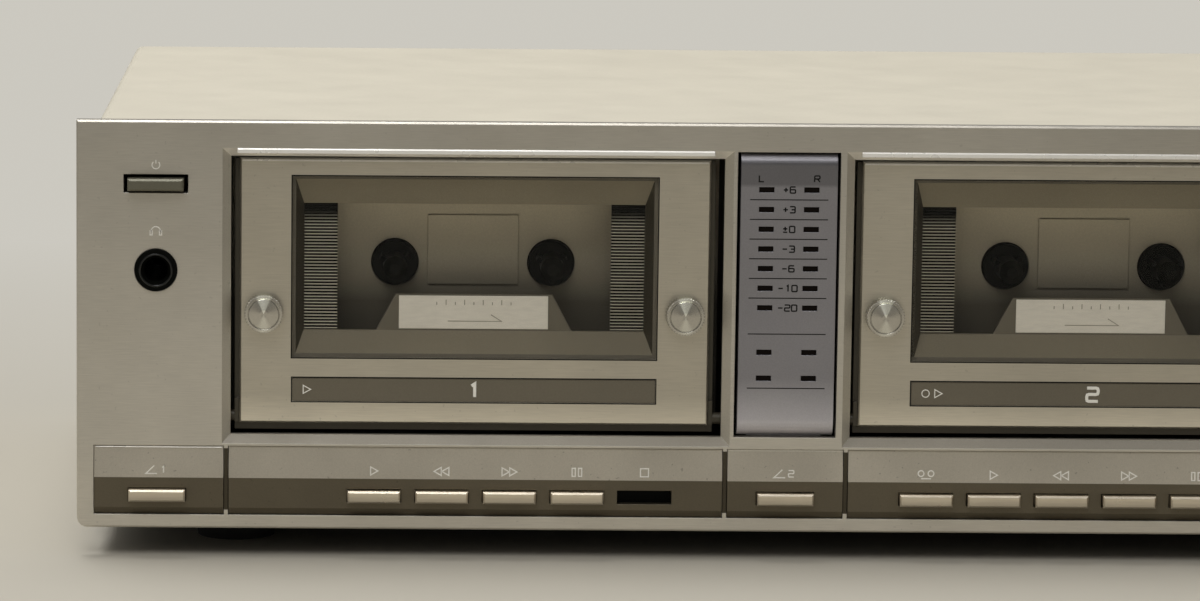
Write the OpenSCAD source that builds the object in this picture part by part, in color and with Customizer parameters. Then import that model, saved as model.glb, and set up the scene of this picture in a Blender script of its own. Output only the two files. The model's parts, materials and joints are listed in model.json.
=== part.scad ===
// Double cassette recorder, built as separate pieces that slide, turn and hinge.
// Every module works in panel coordinates: x runs right from the front panel's left end,
// y runs back from its front face and z runs up from its lower edge.
// place() moves them into the part's frame.

/* [Cabinet] */
// Thickness of the front panel
panel_t = 4; // [3.8:0.1:4.2]
// Radius of the panel's lower corners
panel_corner = 3; // [1:0.5:4]
// Chamfer along the panel's front edges
panel_edge = 0.5; // [0.2:0.1:0.8]
// Depth from the panel's face to the rear face
body_depth = 230; // [220:1:300]
// How far the panel's ends stand out past the cover's sides
cover_inset = 5.1; // [4:0.1:8]
// How far the cover's top lies below the panel's top edge
cover_drop = 0.6; // [0.4:0.1:1.5]
// Outer bend radius of the cover
cover_bend = 2.5; // [1.8:0.1:4]
// Thickness of the cabinet's steel sheet
sheet_t = 1; // [0.8:0.1:1.3]
// Height of the tray floor above the panel's lower edge
floor_up = 1; // [0.6:0.1:1.6]
// Height of the tray's side walls
tray_wall = 16; // [14:1:30]
// Free height under the panel
foot_gap = 8; // [6:0.5:14]
// Diameter of a foot at its top
foot_d = 24; // [18:1:30]
// Diameter of a foot at its lower face
foot_base_d = 21; // [14:1:24]
// Distance of a foot's axis from the panel's end
foot_in_x = 42; // [30:1:60]
// Distance of a foot's axis from the front and rear faces
foot_in_y = 36; // [30:1:50]
// Diameter of a case screw's head
case_head_d = 7; // [6:0.5:8]
// Height of a case screw's head
case_head_h = 2; // [1.5:0.1:2.6]
// Diameter of a case screw's shank
case_shank_d = 3; // [2.5:0.1:3.5]
// Length of a case screw's shank
case_shank = 7; // [5:0.5:9]
// Play around a screw's shank
screw_play = 0.15; // [0.1:0.05:0.25]

/* [Front layout] */
// Width of the panel left of the first door opening
left_w = 41.2; // [40:0.1:60]
// Height of the panel above the door openings
panel_head = 9.5; // [8:0.1:20]
// Height of the panel between the key blocks and the door openings
door_sill = 3.1; // [2.9:0.1:4]
// Chamfer round a door opening
door_chamfer = 2.3; // [1:0.1:2.4]
// Width of the panel between the two door openings
middle_w = 34.6; // [34.2:0.1:44]
// Width of the panel right of the second door opening
right_w = 80.8; // [78:0.1:110]
// Offset of a deck's axis from the middle of its opening
deck_shift = -0.6; // [-0.8:0.1:0]
// Height of the panel's strip below the key blocks
sill_h = 3.8; // [3.6:0.1:4]
// Height of a key block
block_h = 18.5; // [18:0.1:18.6]
// Width of the panel's rib between two key blocks
divider_w = 1.1; // [0.9:0.1:1.4]
// Distance of the left controls' axis from the panel's end
left_x = 21.2; // [20.5:0.1:22]
// Gap between a key block and the panel
block_gap = 0.15; // [0.1:0.05:0.2]
// Distance from a door opening's side to the middle of the rib beside it
divider_out = 1.1; // [0.9:0.1:1.3]
// Distance from the panel's end to the first key block
block_end = 4.7; // [4:0.1:6]

/* [Key blocks] */
// Depth of a key block behind the panel's face
block_depth = 14; // [13:0.5:16]
// Set-back of a block's top edge behind the panel's face
block_top_y = 0.5; // [0.2:0.1:0.8]
// Reach of a block's lower face in front of the panel
block_nose = 0.5; // [0.2:0.1:0.8]
// Height of a block's slanted upper face
block_slant_h = 8.5; // [7.5:0.1:9]
// Height of the bevel along a block's lower edge
block_bevel_h = 1.9; // [1:0.1:2.2]
// Depth of the bevel along a block's lower edge
block_bevel_y = 1.4; // [0.8:0.1:1.8]
// Wall of a block's front, behind the panel's face
block_wall = 2.5; // [2:0.1:2.8]
// Wall of a block's other sides
block_skin = 1.2; // [1:0.1:1.4]
// Thickness of the tongues that hold a block behind the panel
tongue_t = 1.2; // [0.8:0.1:1.6]
// Overlap of those tongues behind the panel
tongue_lap = 0.6; // [0.4:0.1:0.7]
// Height of a key's axis above the block's lower edge
key_up = 5.4; // [5.2:0.1:6.6]
// Width of a transport key
key_w = 14.2; // [12:0.1:15]
// Height of a key
key_h = 3.3; // [2.8:0.1:3.4]
// Width of an eject key
eject_w = 15.2; // [13:0.1:16.5]
// Offset of the left eject key from the axis of the controls above it
eject_shift = 0.4; // [0:0.1:0.6]
// Gap round a key in its slot
key_gap = 0.22; // [0.15:0.01:0.3]
// Reach of a key in front of the panel's face
key_proud = 3.5; // [3.2:0.1:4.5]
// Travel of a key
key_travel = 3; // [2:0.1:3]
// Chamfer along a key's front edges
key_edge = 0.5; // [0.3:0.1:0.9]
// Distance between neighbouring keys
key_pitch = 18.15; // [17.8:0.05:18.4]
// Distance from a deck's axis to its leftmost key place
key_first = 44.75; // [44:0.05:45.5]
// Height a key's collar adds on each side
collar_h = 0.7; // [0.5:0.1:0.8]
// Width a key's collar adds on each side
collar_w = 0.8; // [0.5:0.1:1]
// Length of a key's collar
collar_t = 1.5; // [1:0.1:1.8]
// Play between a collar and the wall it rests behind
collar_play = 0.3; // [0.25:0.05:0.4]
// Width of a key's stem
stem_w = 5; // [4:0.1:6]
// Height of a key's stem
stem_h = 2; // [1.6:0.1:2.4]
// Length of a stem past the block's rear wall
stem_past = 3; // [1:0.1:4]

/* [Power button and phones socket] */
// Distance of the power button's axis below the panel's top
button_down = 16.9; // [15:0.1:19]
// Width of the power button's slot
button_slot_w = 17.2; // [16:0.1:19]
// Height of the power button's slot
button_slot_h = 5; // [4.6:0.1:5.6]
// Width of the power button
button_w = 14.9; // [13:0.1:15.5]
// Height of the power button
button_h = 3.2; // [2.8:0.1:3.6]
// Reach of the power button in front of the panel
button_proud = 4; // [3.6:0.1:5]
// Travel of the power button
button_travel = 3; // [2:0.1:3]
// Width of the power switch
switch_w = 22; // [21:0.5:24]
// Height of the power switch
switch_h = 10; // [9:0.5:12]
// Length of the power switch
switch_l = 26; // [25:0.5:32]
// Depth of the power switch's front pocket
switch_pocket = 9; // [8:0.5:10]
// Length of the button's stem
button_stem = 14; // [10:0.5:15]
// Distance of the phones socket's axis below the panel's top
jack_down = 40.1; // [38:0.1:48]
// Diameter of the phones socket's collar
jack_d = 11.2; // [10.6:0.1:12.4]
// Diameter of the phones socket's bore
jack_bore_d = 6.4; // [6.35:0.05:6.6]
// Diameter of the bore's flared mouth
jack_mouth_d = 8.8; // [7.5:0.1:9.4]
// Depth of the bore's flared mouth
jack_mouth = 1.4; // [0.8:0.1:1.8]
// Reach of the collar in front of the panel
jack_proud = 0.8; // [0.5:0.1:1.5]
// Width and height of the phones socket's body
jack_body = 15; // [14:0.5:18]
// Length of the phones socket's body
jack_l = 30; // [28:0.5:36]

/* [Level meter] */
// Panel left on each side of the meter plate
meter_side = 4.45; // [4:0.05:6]
// Gap between the meter plate's sides and the panel
meter_gap = 0.85; // [0.4:0.05:0.9]
// Gap above and below the meter plate
meter_gap_z = 0.3; // [0.2:0.05:0.5]
// Offset of the meter from the middle between the doors
meter_shift = -0.35; // [-0.5:0.05:0.3]
// Height of the meter plate's lower edge above the doors' sill
meter_up = 0.6; // [0.2:0.1:1]
// Height that the meter plate has more than a door opening
meter_over = 1.2; // [0:0.1:1.4]
// Reach of the meter plate in front of the panel
meter_proud = 0.8; // [0.4:0.1:1.2]
// Radius of the meter plate's upper edge
meter_top_r = 3; // [2:0.1:4]
// Radius of the meter plate's lower edge
meter_low_r = 4.5; // [3:0.1:4.6]
// Length of a lens
lens_w = 3.9; // [3:0.1:5]
// Height of a lens
lens_h = 1.3; // [1:0.1:1.8]
// Gap round a lens
lens_gap = 0.08; // [0.05:0.01:0.12]
// Set-back of a lens behind the meter plate's face
lens_back = 0.25; // [0.1:0.05:0.5]
// Distance of a lens column from the meter's middle
lens_x = 6; // [5:0.1:7]
// Number of lens rows in the level scale
lens_rows = 7; // [5:1:7]
// Distance between lens rows
lens_pitch = 5.29; // [4.8:0.01:5.4]
// Distance of the scale's top row from the meter plate's upper edge
lens_head = 9.66; // [9:0.01:11]
// Height of the upper indicator row above the meter plate's lower edge
lamp_high = 22.9; // [21:0.1:25]
// Height of the lower indicator row above the meter plate's lower edge
lamp_low = 15.9; // [13:0.1:17]
// Width of the tabs that hold the meter plate
tab_w = 20; // [14:0.5:22]
// Overlap of those tabs behind the panel
tab_lap = 1.2; // [0.8:0.1:1.4]
// Thickness of those tabs
tab_t = 1.5; // [1:0.1:2]

/* [Doors] */
// Gap beside a door plate in its opening
door_side = 2.9; // [2.7:0.1:3.5]
// Gap under a door plate in its opening
door_low = 2.8; // [2.6:0.1:3.2]
// Gap above a door plate in its opening
door_top = 0.6; // [0.5:0.1:1]
// Set-back of a door plate behind the panel's face
plate_y = 4; // [3.8:0.1:4.4]
// Thickness of a door plate
plate_t = 1.8; // [1.6:0.1:2]
// Chamfer along a door plate's front edges
plate_edge = 0.5; // [0.2:0.1:0.8]
// How far the window's sides lie inside the cassette's ends
window_in = 1.25; // [0.5:0.05:2]
// Height of the window above the plate's lower edge
window_low = 17.7; // [16:0.1:19]
// Height of the plate above the window
window_over = 4.9; // [4:0.1:7]
// Thickness of the window pane
pane_t = 2; // [1.9:0.1:2.4]
// Gap round the window pane
pane_gap = 0.1; // [0.05:0.01:0.15]
// Set-back of the pane behind the door plate's face
pane_back = 0.15; // [0.1:0.05:0.3]
// How far the legend strip's ends lie inside the window's sides
legend_in = 0.1; // [0:0.05:6]
// Height of the legend strip above the plate's lower edge
legend_up = 5.8; // [5:0.1:8]
// Height of the legend strip's recess
legend_h = 6.5; // [5:0.1:7]
// Depth of the legend recess
legend_deep = 0.3; // [0.2:0.05:0.5]
// Gap between a holder's side and a thumbscrew's axis
thumb_clear = 3.7; // [3:0.1:4.5]
// Distance of a thumbscrew's axis from the plate's side
thumb_edge = 6.55; // [6:0.05:8]
// Height of a thumbscrew's axis above the plate's lower edge
thumb_up = 30; // [22:0.5:50]
// Diameter of a thumbscrew's head
thumb_d = 10.4; // [9:0.1:11]
// Height of a thumbscrew's head
thumb_h = 4.5; // [3.5:0.1:5]
// Depth of a thumbscrew's grip grooves
thumb_groove = 0.35; // [0.2:0.05:0.5]
// Number of grip grooves
thumb_teeth = 40; // [30:1:48]
// Height of the cone on a thumbscrew's face
thumb_cone = 0.4; // [0.3:0.1:0.8]
// Diameter of the ring turned into a thumbscrew's face
thumb_ring_d = 8.2; // [7.5:0.1:8.6]
// Width and depth of that ring
thumb_ring_t = 0.3; // [0.2:0.05:0.4]
// Diameter of the flat at the middle of that cone
thumb_flat = 2; // [1:0.1:3]
// Diameter of a thumbscrew's shank
thumb_shank_d = 3.2; // [2.6:0.1:3.6]
// Length of a thumbscrew's shank
thumb_shank = 4.6; // [3.6:0.1:6]

/* [Cassette holders] */
// Thickness of the holder's frame behind the door plate
frame_t = 1.7; // [1.5:0.1:2]
// Set-back of the holder's frame inside the door plate's outline
frame_in = 0.35; // [0.2:0.05:0.6]
// How far the frame shows beyond the plate's ends
frame_side = 1.3; // [1:0.1:1.5]
// How far the frame shows below the plate
frame_foot = 2; // [1.5:0.1:2.2]
// Ledge that the pane rests on
pane_ledge = 1; // [0.8:0.1:1.2]
// Depth of the pane's seat in the frame
seat_deep = 0.35; // [0.35:0.05:0.75]
// Slope of the bezel's sides
bezel_side = 3.1; // [2:0.1:4]
// Height of the bezel's lower slope
bezel_low = 6.6; // [5:0.1:7]
// Height of the bezel's upper slope
bezel_over = 8.1; // [6:0.1:9]
// Depth from the pane to the bezel's inner opening
bezel_deep = 5; // [4.8:0.1:5.2]
// Wall round the bezel's mouth
bezel_wall = 1.5; // [1.3:0.1:2]
// Thickness of the bezel's inner lip
lip_t = 1.2; // [1:0.1:1.4]
// Width of the head cover's foot
hood_w = 52.7; // [48:0.1:56]
// Width of the head cover's top
hood_top_w = 42.3; // [38:0.1:46]
// Height of the head cover
hood_h = 9.8; // [8:0.1:10.4]
// Distance from the deck's axis to the ribbed strips
strip_in = 36.8; // [35:0.1:40]
// Thickness of a ribbed strip
strip_t = 1.2; // [1:0.1:1.5]
// Distance between ribs
rib_pitch = 0.85; // [0.7:0.05:1.2]
// Height of a rib
rib_h = 0.55; // [0.3:0.05:0.7]
// Gap round a ribbed strip in its holder
strip_gap = 0.1; // [0.05:0.05:0.2]
// Length of the tape cassette the holder takes
cassette_l = 100.4; // [100:0.1:101]
// Height of that cassette
cassette_h = 63.8; // [63.4:0.1:64.2]
// Thickness of that cassette's edge
cassette_edge = 8.7; // [8.5:0.1:9]
// Height of the cassette above the door plate's lower edge
cassette_up = 5.7; // [5.4:0.1:7]
// Height of the door plate above the cassette
cassette_over = 2.2; // [2:0.1:4]
// Play round the cassette
cassette_play = 0.5; // [0.3:0.05:0.6]
// Wall of the holder's side channels
channel_t = 2; // [1.6:0.1:2.4]
// Reach of the channels' rear lips
rear_lip = 3.6; // [2.5:0.1:4]
// Distance from the deck's axis to the shelves under the cassette
shelf_in = 38; // [37:0.1:42]
// Thickness of those shelves
shelf_t = 1.6; // [1.3:0.1:1.8]
// Radius of a door's hinge pin
hinge_r = 1.6; // [1.4:0.05:1.7]
// Height of the hinge axis above the door plate's lower edge
hinge_up = 1.7; // [1.6:0.1:2.2]
// Depth of the hinge axis behind the panel's face
hinge_y = 6; // [5.9:0.1:6.3]
// Running clearance of pins and shafts in their bores
run_gap = 0.05; // [0.03:0.01:0.08]
// Thickness of the lug at a hinge pin's root
lug_t = 1.1; // [0.8:0.1:1.3]
// Height of that lug
lug_h = 6.5; // [5.5:0.1:7]
// Depth of that lug
lug_y = 5.6; // [5:0.1:6]
// Gap between the lug and the door plate
lug_gap = 0.15; // [0.1:0.05:0.2]

/* [Decks] */
// Gap between a shut holder and the deck's back wall
back_gap = 3.55; // [3.2:0.05:5]
// Thickness of a deck's back wall
back_t = 1.5; // [1.2:0.1:1.8]
// Gap between the well's walls and the door opening
well_gap = 0.3; // [0.2:0.05:0.4]
// Thickness of the well's walls
well_t = 2; // [1.6:0.1:2.1]
// Distance between a deck's reel spindles
reel_pitch = 42.5; // [42:0.1:43]
// Height of the reel spindles' axes above the cassette's lower edge
reel_up = 35; // [34.5:0.1:36]
// Diameter of a spindle's collar
reel_d = 12.2; // [11:0.1:12.6]
// Reach of a spindle's collar in front of the back wall
reel_rise = 2; // [1:0.1:3]
// Diameter of a spindle's hub
hub_d = 6.4; // [5.8:0.1:7]
// Reach of a spindle's tip in front of the back wall
hub_reach = 16.6; // [14:0.1:17]
// Length of a spindle's conical tip
tip_l = 3; // [2:0.1:4]
// Diameter of the tip's end
tip_d = 3; // [2:0.1:4]
// Radius to the edge of a spindle's fins
fin_r = 4.5; // [4.2:0.1:4.8]
// Thickness of a spindle's fins
fin_t = 1.3; // [1:0.1:1.6]
// Length of a spindle's fins
fin_l = 7; // [5:0.1:9]
// Gap round a spindle's collar in the back wall
reel_gap = 0.4; // [0.3:0.05:0.6]
// Diameter of a spindle's rear disc
disc_d = 20; // [16:0.5:24]
// Thickness of a spindle's rear disc
disc_t = 2; // [1.5:0.1:2.5]
// Gap in front of and behind that disc
disc_gap = 0.5; // [0.4:0.1:0.8]
// Diameter of a spindle's journal
journal_d = 4; // [3:0.1:4.5]
// Thickness of the bearing bar behind the spindles
bar_t = 3; // [2.5:0.1:3.4]
// Height of the bearing bar
bar_h = 12; // [9:0.5:14]
// Gap between a spindle's disc and the bearing bar's posts
post_gap = 1.75; // [1:0.05:4]
// Diameter of those posts
post_d = 8; // [6:0.5:9]
// Width of the shallow panel between the spindles
pad_w = 24.6; // [20:0.1:26]
// Height of that panel
pad_h = 19; // [14:0.1:24]
// Rise of that panel
pad_t = 0.6; // [0.3:0.1:1]
// Distance of that panel's lower edge below the spindles' axes
pad_down = 6; // [4:0.1:10]

/* [Tape drive] */
// Distance of a capstan from the deck's axis
capstan_x = 24.5; // [23.5:0.1:26]
// Height of a capstan above the cassette's lower edge
capstan_up = 9.5; // [9:0.1:10.5]
// Diameter of a capstan
capstan_d = 2.5; // [2:0.1:3]
// Reach of a capstan in front of the back wall
capstan_reach = 14; // [11:0.1:14.2]
// Diameter of a capstan's bearing boss
bearing_d = 8; // [6:0.5:9]
// Length of a capstan's bearing boss
bearing_l = 11; // [10.8:0.1:13]
// Diameter of a flywheel
flywheel_d = 52; // [44:1:54]
// Thickness of a flywheel
flywheel_t = 7; // [6.6:0.1:9]
// Gap between a bearing boss and its flywheel
flywheel_gap = 0.5; // [0.4:0.1:0.8]
// Diameter of the motor pulley
pulley_d = 10; // [8:0.5:14]
// Gap between a belt and the wheels it runs round
belt_gap = 0.3; // [0.25:0.05:0.4]
// Thickness of a belt
belt_t = 0.9; // [0.7:0.1:1.2]
// Width of a belt
belt_w = 2.2; // [1.8:0.1:2.5]
// Distance of a belt's middle from a flywheel's near face
belt_in = 1.9; // [1.6:0.1:2]
// Diameter of the motor
motor_d = 32; // [26:1:36]
// Length of the motor
motor_l = 24; // [20:1:30]
// Diameter of the motor's shaft
motor_shaft_d = 2; // [1.6:0.1:2.5]
// Length of the shaft inside the motor
motor_shaft_in = 12; // [8:0.5:16]
// Gap between the pulley and the motor's bracket
bracket_gap = 2; // [1.5:0.1:3]
// Height of the motor bracket above the motor's axis
bracket_top = 17; // [16:0.5:20]
// Width of the motor bracket
bracket_w = 36; // [34:0.5:40]

/* [Heads] */
// Travel of a head bridge
bridge_travel = 9; // [7:0.1:9]
// Width of a head bridge
bridge_w = 68; // [62:0.5:70]
// Height of a head bridge
bridge_h = 17; // [15:0.5:18]
// Thickness of a head bridge
bridge_t = 1.6; // [1.2:0.1:2]
// Room round a head bridge in the well's floor
bridge_room = 1.5; // [1:0.1:2]
// Gap between a head bridge and the back wall
bridge_gap = 0.6; // [0.4:0.1:0.8]
// Drop of a head bridge's top below the cassette
bridge_drop = 3.4; // [3:0.1:4.5]
// Distance of a bridge's guide pins from the deck's axis
guide_x = 29; // [27.5:0.1:30]
// Diameter of those guide pins
guide_d = 3; // [2.6:0.1:3.4]
// Height of the guide pins above the bridge's lower edge
guide_up = 5; // [4:0.1:6]
// Play of the guide pins in their slots
guide_play = 0.15; // [0.1:0.01:0.2]
// Width of the tape head
head_w = 14; // [12:0.1:16]
// Height of the tape head
head_h = 11; // [9:0.1:12]
// Length of the tape head
head_l = 11; // [9:0.1:11.2]
// Distance of the erase head from the deck's axis
erase_x = 19; // [17:0.1:20]
// Width of the erase head
erase_w = 7; // [6:0.1:8]
// Drop of the erase head below the tape head's top
erase_drop = 1.5; // [1:0.1:2.5]
// Drop of the tape head's top below the cassette
head_drop = 2; // [1.5:0.1:3]
// Diameter of the pinch roller
roller_d = 11; // [9:0.1:11.4]
// Width of the pinch roller
roller_w = 6; // [5:0.1:7]
// Gap between the raised roller and the capstan
roller_gap = 0.4; // [0.3:0.05:0.6]
// Diameter of the roller's pin
roller_pin_d = 2.4; // [2:0.1:2.8]
// Gap between the roller and the bridge
roller_off = 3.5; // [3:0.1:4]

/* [Level control] */
// Distance of the level control's axis below the panel's top
knob_down = 50; // [44:0.5:56]
// Reach of the inner knob in front of the panel
knob_proud = 14; // [12.5:0.5:18]
// Diameter of the outer knob
ring_d = 34; // [30:0.5:38]
// Diameter of the outer knob's front
ring_front_d = 31; // [28:0.5:32]
// Reach of the outer knob in front of the panel
ring_proud = 7.5; // [6:0.1:8]
// Gap between the outer knob and the panel
ring_off = 0.8; // [0.5:0.1:1.2]
// Diameter of the inner knob
inner_d = 22; // [19:0.5:24]
// Diameter of the inner knob's front
inner_front_d = 20.5; // [18:0.5:22]
// Gap between the two knobs
inner_off = 0.6; // [0.4:0.1:0.8]
// Diameter of the control's bush
bush_d = 9; // [8:0.5:10]
// Diameter of the inner knob's shaft
knob_shaft_d = 4; // [3:0.1:5]
// Diameter of the control's body
pot_d = 25; // [22:0.5:30]
// Length of the control's body
pot_l = 16; // [12:0.5:22]
// Depth of a pointer groove
pointer_deep = 0.4; // [0.3:0.05:0.6]
// Width of a pointer groove
pointer_w = 1; // [0.6:0.1:1.4]

/* [Rear and inside] */
// Diameter of a socket's sleeve
sleeve_d = 8.3; // [8:0.1:8.6]
// Diameter of a socket's bore
socket_bore_d = 3.2; // [3:0.1:3.5]
// Reach of a socket behind the rear panel
socket_proud = 9; // [8:0.5:11]
// Distance between sockets
socket_pitch = 16; // [14:0.5:20]
// Distance of the sockets' middle from the panel's left end
socket_x = 70; // [50:1:150]
// Height of the sockets' middle
socket_z = 60; // [40:1:80]
// Gap between a socket's sleeve and the sockets' base
sleeve_gap = 0.1; // [0.05:0.05:0.2]
// Thickness of the sockets' base
socket_base = 4; // [3:0.5:6]
// Distance of the mains gland from the panel's right end
gland_in = 60; // [40:1:90]
// Height of the mains gland
gland_z = 40; // [30:1:80]
// Diameter of the gland's flange
gland_flange_d = 17; // [15:0.5:20]
// Diameter of the gland's body
gland_d = 12; // [10:0.5:13]
// Diameter of the gland's bore
gland_bore_d = 7; // [6:0.1:8]
// Thickness of the gland's flange
gland_flange = 3; // [2:0.1:4]
// Reach of the gland inside the rear panel
gland_in_l = 9; // [7:0.5:12]
// Width of the main board
board_w = 210; // [150:1:230]
// Depth of the main board
board_l = 90; // [70:1:110]
// Thickness of the main board
board_t = 1.6; // [1.2:0.1:2]
// Height of the posts under the board
board_post = 7; // [5:0.5:10]
// Diameter of those posts
board_post_d = 7; // [5:0.5:9]
// Distance of the board from the tray's right wall
board_x = 40; // [20:1:60]
// Distance of the board from the rear panel
board_y = 14; // [12:1:20]
// Inset of the posts from the board's edges
board_in = 7; // [6:0.5:10]
// Diameter of the board's large capacitors
cap_d = 16; // [10:0.5:20]
// Height of the board's large capacitors
cap_h = 28; // [15:0.5:34]
// Number of large capacitors
cap_n = 4; // [1:1:4]
// Distance between them
cap_pitch = 42; // [30:1:48]
// Distance of their row from the board's rear edge
cap_in = 30; // [20:1:50]
// Width of the transformer's core
core_w = 62; // [50:1:70]
// Depth of the transformer's core
core_l = 34; // [26:1:40]
// Height of the transformer's core
core_h = 52; // [44:1:60]
// Gap between the transformer's core and the main board
core_gap = 3; // [2:0.5:10]
// Overhang of the transformer's winding in front and behind
coil_out = 9; // [6:0.5:12]
// Inset of the winding from the core's ends
coil_in = 11; // [8:0.5:16]
// Distance of the transformer from the panel's right end
core_x = 48; // [40:1:60]
// Length of an air slot in the tray
vent_l = 50; // [20:1:70]
// Width of an air slot in the tray
vent_w = 4; // [2:0.5:5]
// Distance between air slots
vent_pitch = 9; // [7:0.5:12]

/* [Hidden] */
$fn = 64;
eps = 0.01;
silver = [0.66, 0.64, 0.59];
bright = [0.85, 0.83, 0.77];
taupe = [0.36, 0.33, 0.28];
black = [0.05, 0.05, 0.05];
grey = [0.47, 0.46, 0.42];
steel = [0.72, 0.72, 0.72];

channel_in = cassette_l / 2 + cassette_play;
thumb_x = channel_in + channel_t + thumb_clear;
plate_w = 2 * (thumb_x + thumb_edge);
door_open_w = plate_w + 2 * door_side;
window_w = cassette_l - 2 * window_in;
bezel_w = window_w - 2 * bezel_side;
legend_w = window_w - 2 * legend_in;
meter_w = middle_w - 2 * meter_side;

block_top = sill_h + block_h;
door_open_z = block_top + door_sill;
plate_z = door_open_z + door_low;
plate_h = cassette_up + cassette_h + cassette_over;
door_open_h = door_low + plate_h + door_top;
panel_h = door_open_z + door_open_h + panel_head;
window_z = plate_z + window_low;
window_h = plate_h - window_low - window_over;
bezel_z = window_z + bezel_low;
bezel_h = window_h - bezel_low - bezel_over;
legend_z = plate_z + legend_up;
thumb_z = plate_z + thumb_up;
hinge_z = plate_z + hinge_up;
cassette_z = plate_z + cassette_up;
reel_z = cassette_z + reel_up;
pad_z = reel_z - pad_down;
meter_z = door_open_z + meter_up;
meter_h = door_open_h + meter_over;
button_z = panel_h - button_down;
jack_z = panel_h - jack_down;
knob_z = panel_h - knob_down;

panel_w = left_w + 2 * door_open_w + middle_w + right_w;
deck_pitch = door_open_w + middle_w;
deck_1 = left_w + door_open_w / 2 + deck_shift;
deck_2 = deck_1 + deck_pitch;
face_y = (knob_proud - body_depth - socket_proud) / 2;
right_x = panel_w - right_w / 2;
middle_x = left_w + door_open_w + middle_w / 2;
meter_x = middle_x + meter_shift;

cover_x = cover_inset + sheet_t;
cover_top = panel_h - cover_drop;
floor_z = floor_up + sheet_t;
rear_y = body_depth - sheet_t;
tray_x = cover_x + sheet_t;

key_z = sill_h + key_up;
eject_x = left_x + eject_shift;
slot_h = key_h + 2 * key_gap;
block_rear = block_depth - block_skin;
stem_y = block_rear - key_travel - collar_play;
cut_1 = left_w - divider_out;
cut_2 = left_w + door_open_w + divider_out;
cut_3 = cut_1 + deck_pitch;
cut_4 = cut_2 + deck_pitch;
half_rib = divider_w / 2 + block_gap;
button_in = switch_pocket - button_travel - collar_play;

meter_top = meter_z + meter_h;
scale_rows = [for (i = [0 : lens_rows - 1]) meter_top - lens_head - i * lens_pitch];
lens_zs = concat(scale_rows, [meter_z + lamp_high, meter_z + lamp_low]);

frame_y = plate_y + plate_t;
frame_x = plate_w / 2 + frame_side;
pane_rear = plate_y + pane_back + pane_t;
mouth_x = window_w / 2 - pane_ledge;
mouth_z = [window_z + pane_ledge, window_z + window_h - pane_ledge];
lip_y = pane_rear + bezel_deep;
strip_y = lip_y + lip_t;
channel_rear = strip_y + strip_t + cassette_edge + 2 * cassette_play;
holder_rear = channel_rear + lip_t;
holder_low = cassette_z - cassette_play - shelf_t;
holder_top = cassette_z + cassette_h - cassette_play;
lug_x = plate_w / 2 + lug_gap + lug_t;

well_left = door_open_w / 2 + deck_shift + well_gap;
well_right = door_open_w / 2 - deck_shift + well_gap;
well_low = door_open_z - well_gap;
well_top = door_open_z + door_open_h + well_gap;
back_y = holder_rear + back_gap;
wall_rear = back_y + back_t;
post_x = reel_pitch / 2 + disc_d / 2 + post_gap + post_d / 2;
disc_y = wall_rear + disc_gap;
bar_y = disc_y + disc_t + disc_gap;
capstan_z = cassette_z + capstan_up;
wheel_y = wall_rear + bearing_l + flywheel_gap;
motor_x = (deck_1 + deck_2) / 2 + capstan_x;
bracket_y = wheel_y + flywheel_t + bracket_gap;
belt_1_y = wheel_y + belt_in - belt_w / 2;
belt_2_y = wheel_y + flywheel_t - belt_in - belt_w / 2;
belt_run = deck_pitch / 2;

bridge_rear = back_y - bridge_gap;
bridge_y = bridge_rear - bridge_t;
bridge_top = cassette_z - bridge_drop;
bridge_low = bridge_top - bridge_h;
guide_z = bridge_low + guide_up;
roller_z = capstan_z - capstan_d / 2 - roller_d / 2 - roller_gap - bridge_travel;
roller_rear = bridge_y - roller_off;

// Moves panel coordinates into the part's frame
module place() {
  translate([-panel_w / 2, face_y, foot_gap]) children();
}

// A box between two corners
module block(low, high) {
  translate(low) cube(high - low);
}

// A round bar along y
module bar_y(x, z, y0, y1, d) {
  translate([x, y0, z]) rotate([-90, 0, 0]) cylinder(d = d, h = y1 - y0);
}

// A cone along y
module cone_y(x, z, y0, y1, d0, d1) {
  translate([x, y0, z]) rotate([-90, 0, 0]) cylinder(d1 = d0, d2 = d1, h = y1 - y0);
}

// A round bar along x
module bar_x(x0, x1, y, z, d) {
  translate([x0, y, z]) rotate([0, 90, 0]) cylinder(d = d, h = x1 - x0);
}

// A round bar along z
module bar_z(x, y, z0, z1, d) {
  translate([x, y, z0]) cylinder(d = d, h = z1 - z0);
}

// An outline in x and z, pushed back from y0 to y1
module push_y(points, y0, y1) {
  translate([0, y1, 0]) rotate([90, 0, 0]) linear_extrude(y1 - y0) polygon(points);
}

// A profile in y and z, run from x0 to x1
module run_x(points, x0, x1) {
  translate([x0, 0, 0]) rotate([90, 0, 90]) linear_extrude(x1 - x0) polygon(points);
}

// A rectangle with corners a and b at y0 that slopes to corners c and d at y1, then runs straight to y2
module funnel(a, b, c, d, y0, y1, y2) {
  left = min(a[0], c[0]);
  right = max(b[0], d[0]);
  low = min(a[1], c[1]);
  high = max(b[1], d[1]);
  intersection() {
    run_x([[y0, a[1]], [y1, c[1]], [y2, c[1]], [y2, d[1]], [y1, d[1]], [y0, b[1]]], left, right);
    translate([0, 0, low]) linear_extrude(high - low)
      polygon([[a[0], y0], [b[0], y0], [d[0], y1], [d[0], y2], [c[0], y2], [c[0], y1]]);
  }
}

// A rectangle that is larger by step on every side at y0 than from y1 to y2
module flared(low, high, y0, y1, y2, step) {
  grow = [step, step];
  funnel(low - grow, high + grow, low, high, y0, y1, y2);
}

// Points of an arc
function arc(c, r, a0, a1, n) =
  [for (i = [0 : n]) [c[0] + r * cos(a0 + (a1 - a0) * i / n), c[1] + r * sin(a0 + (a1 - a0) * i / n)]];

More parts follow.
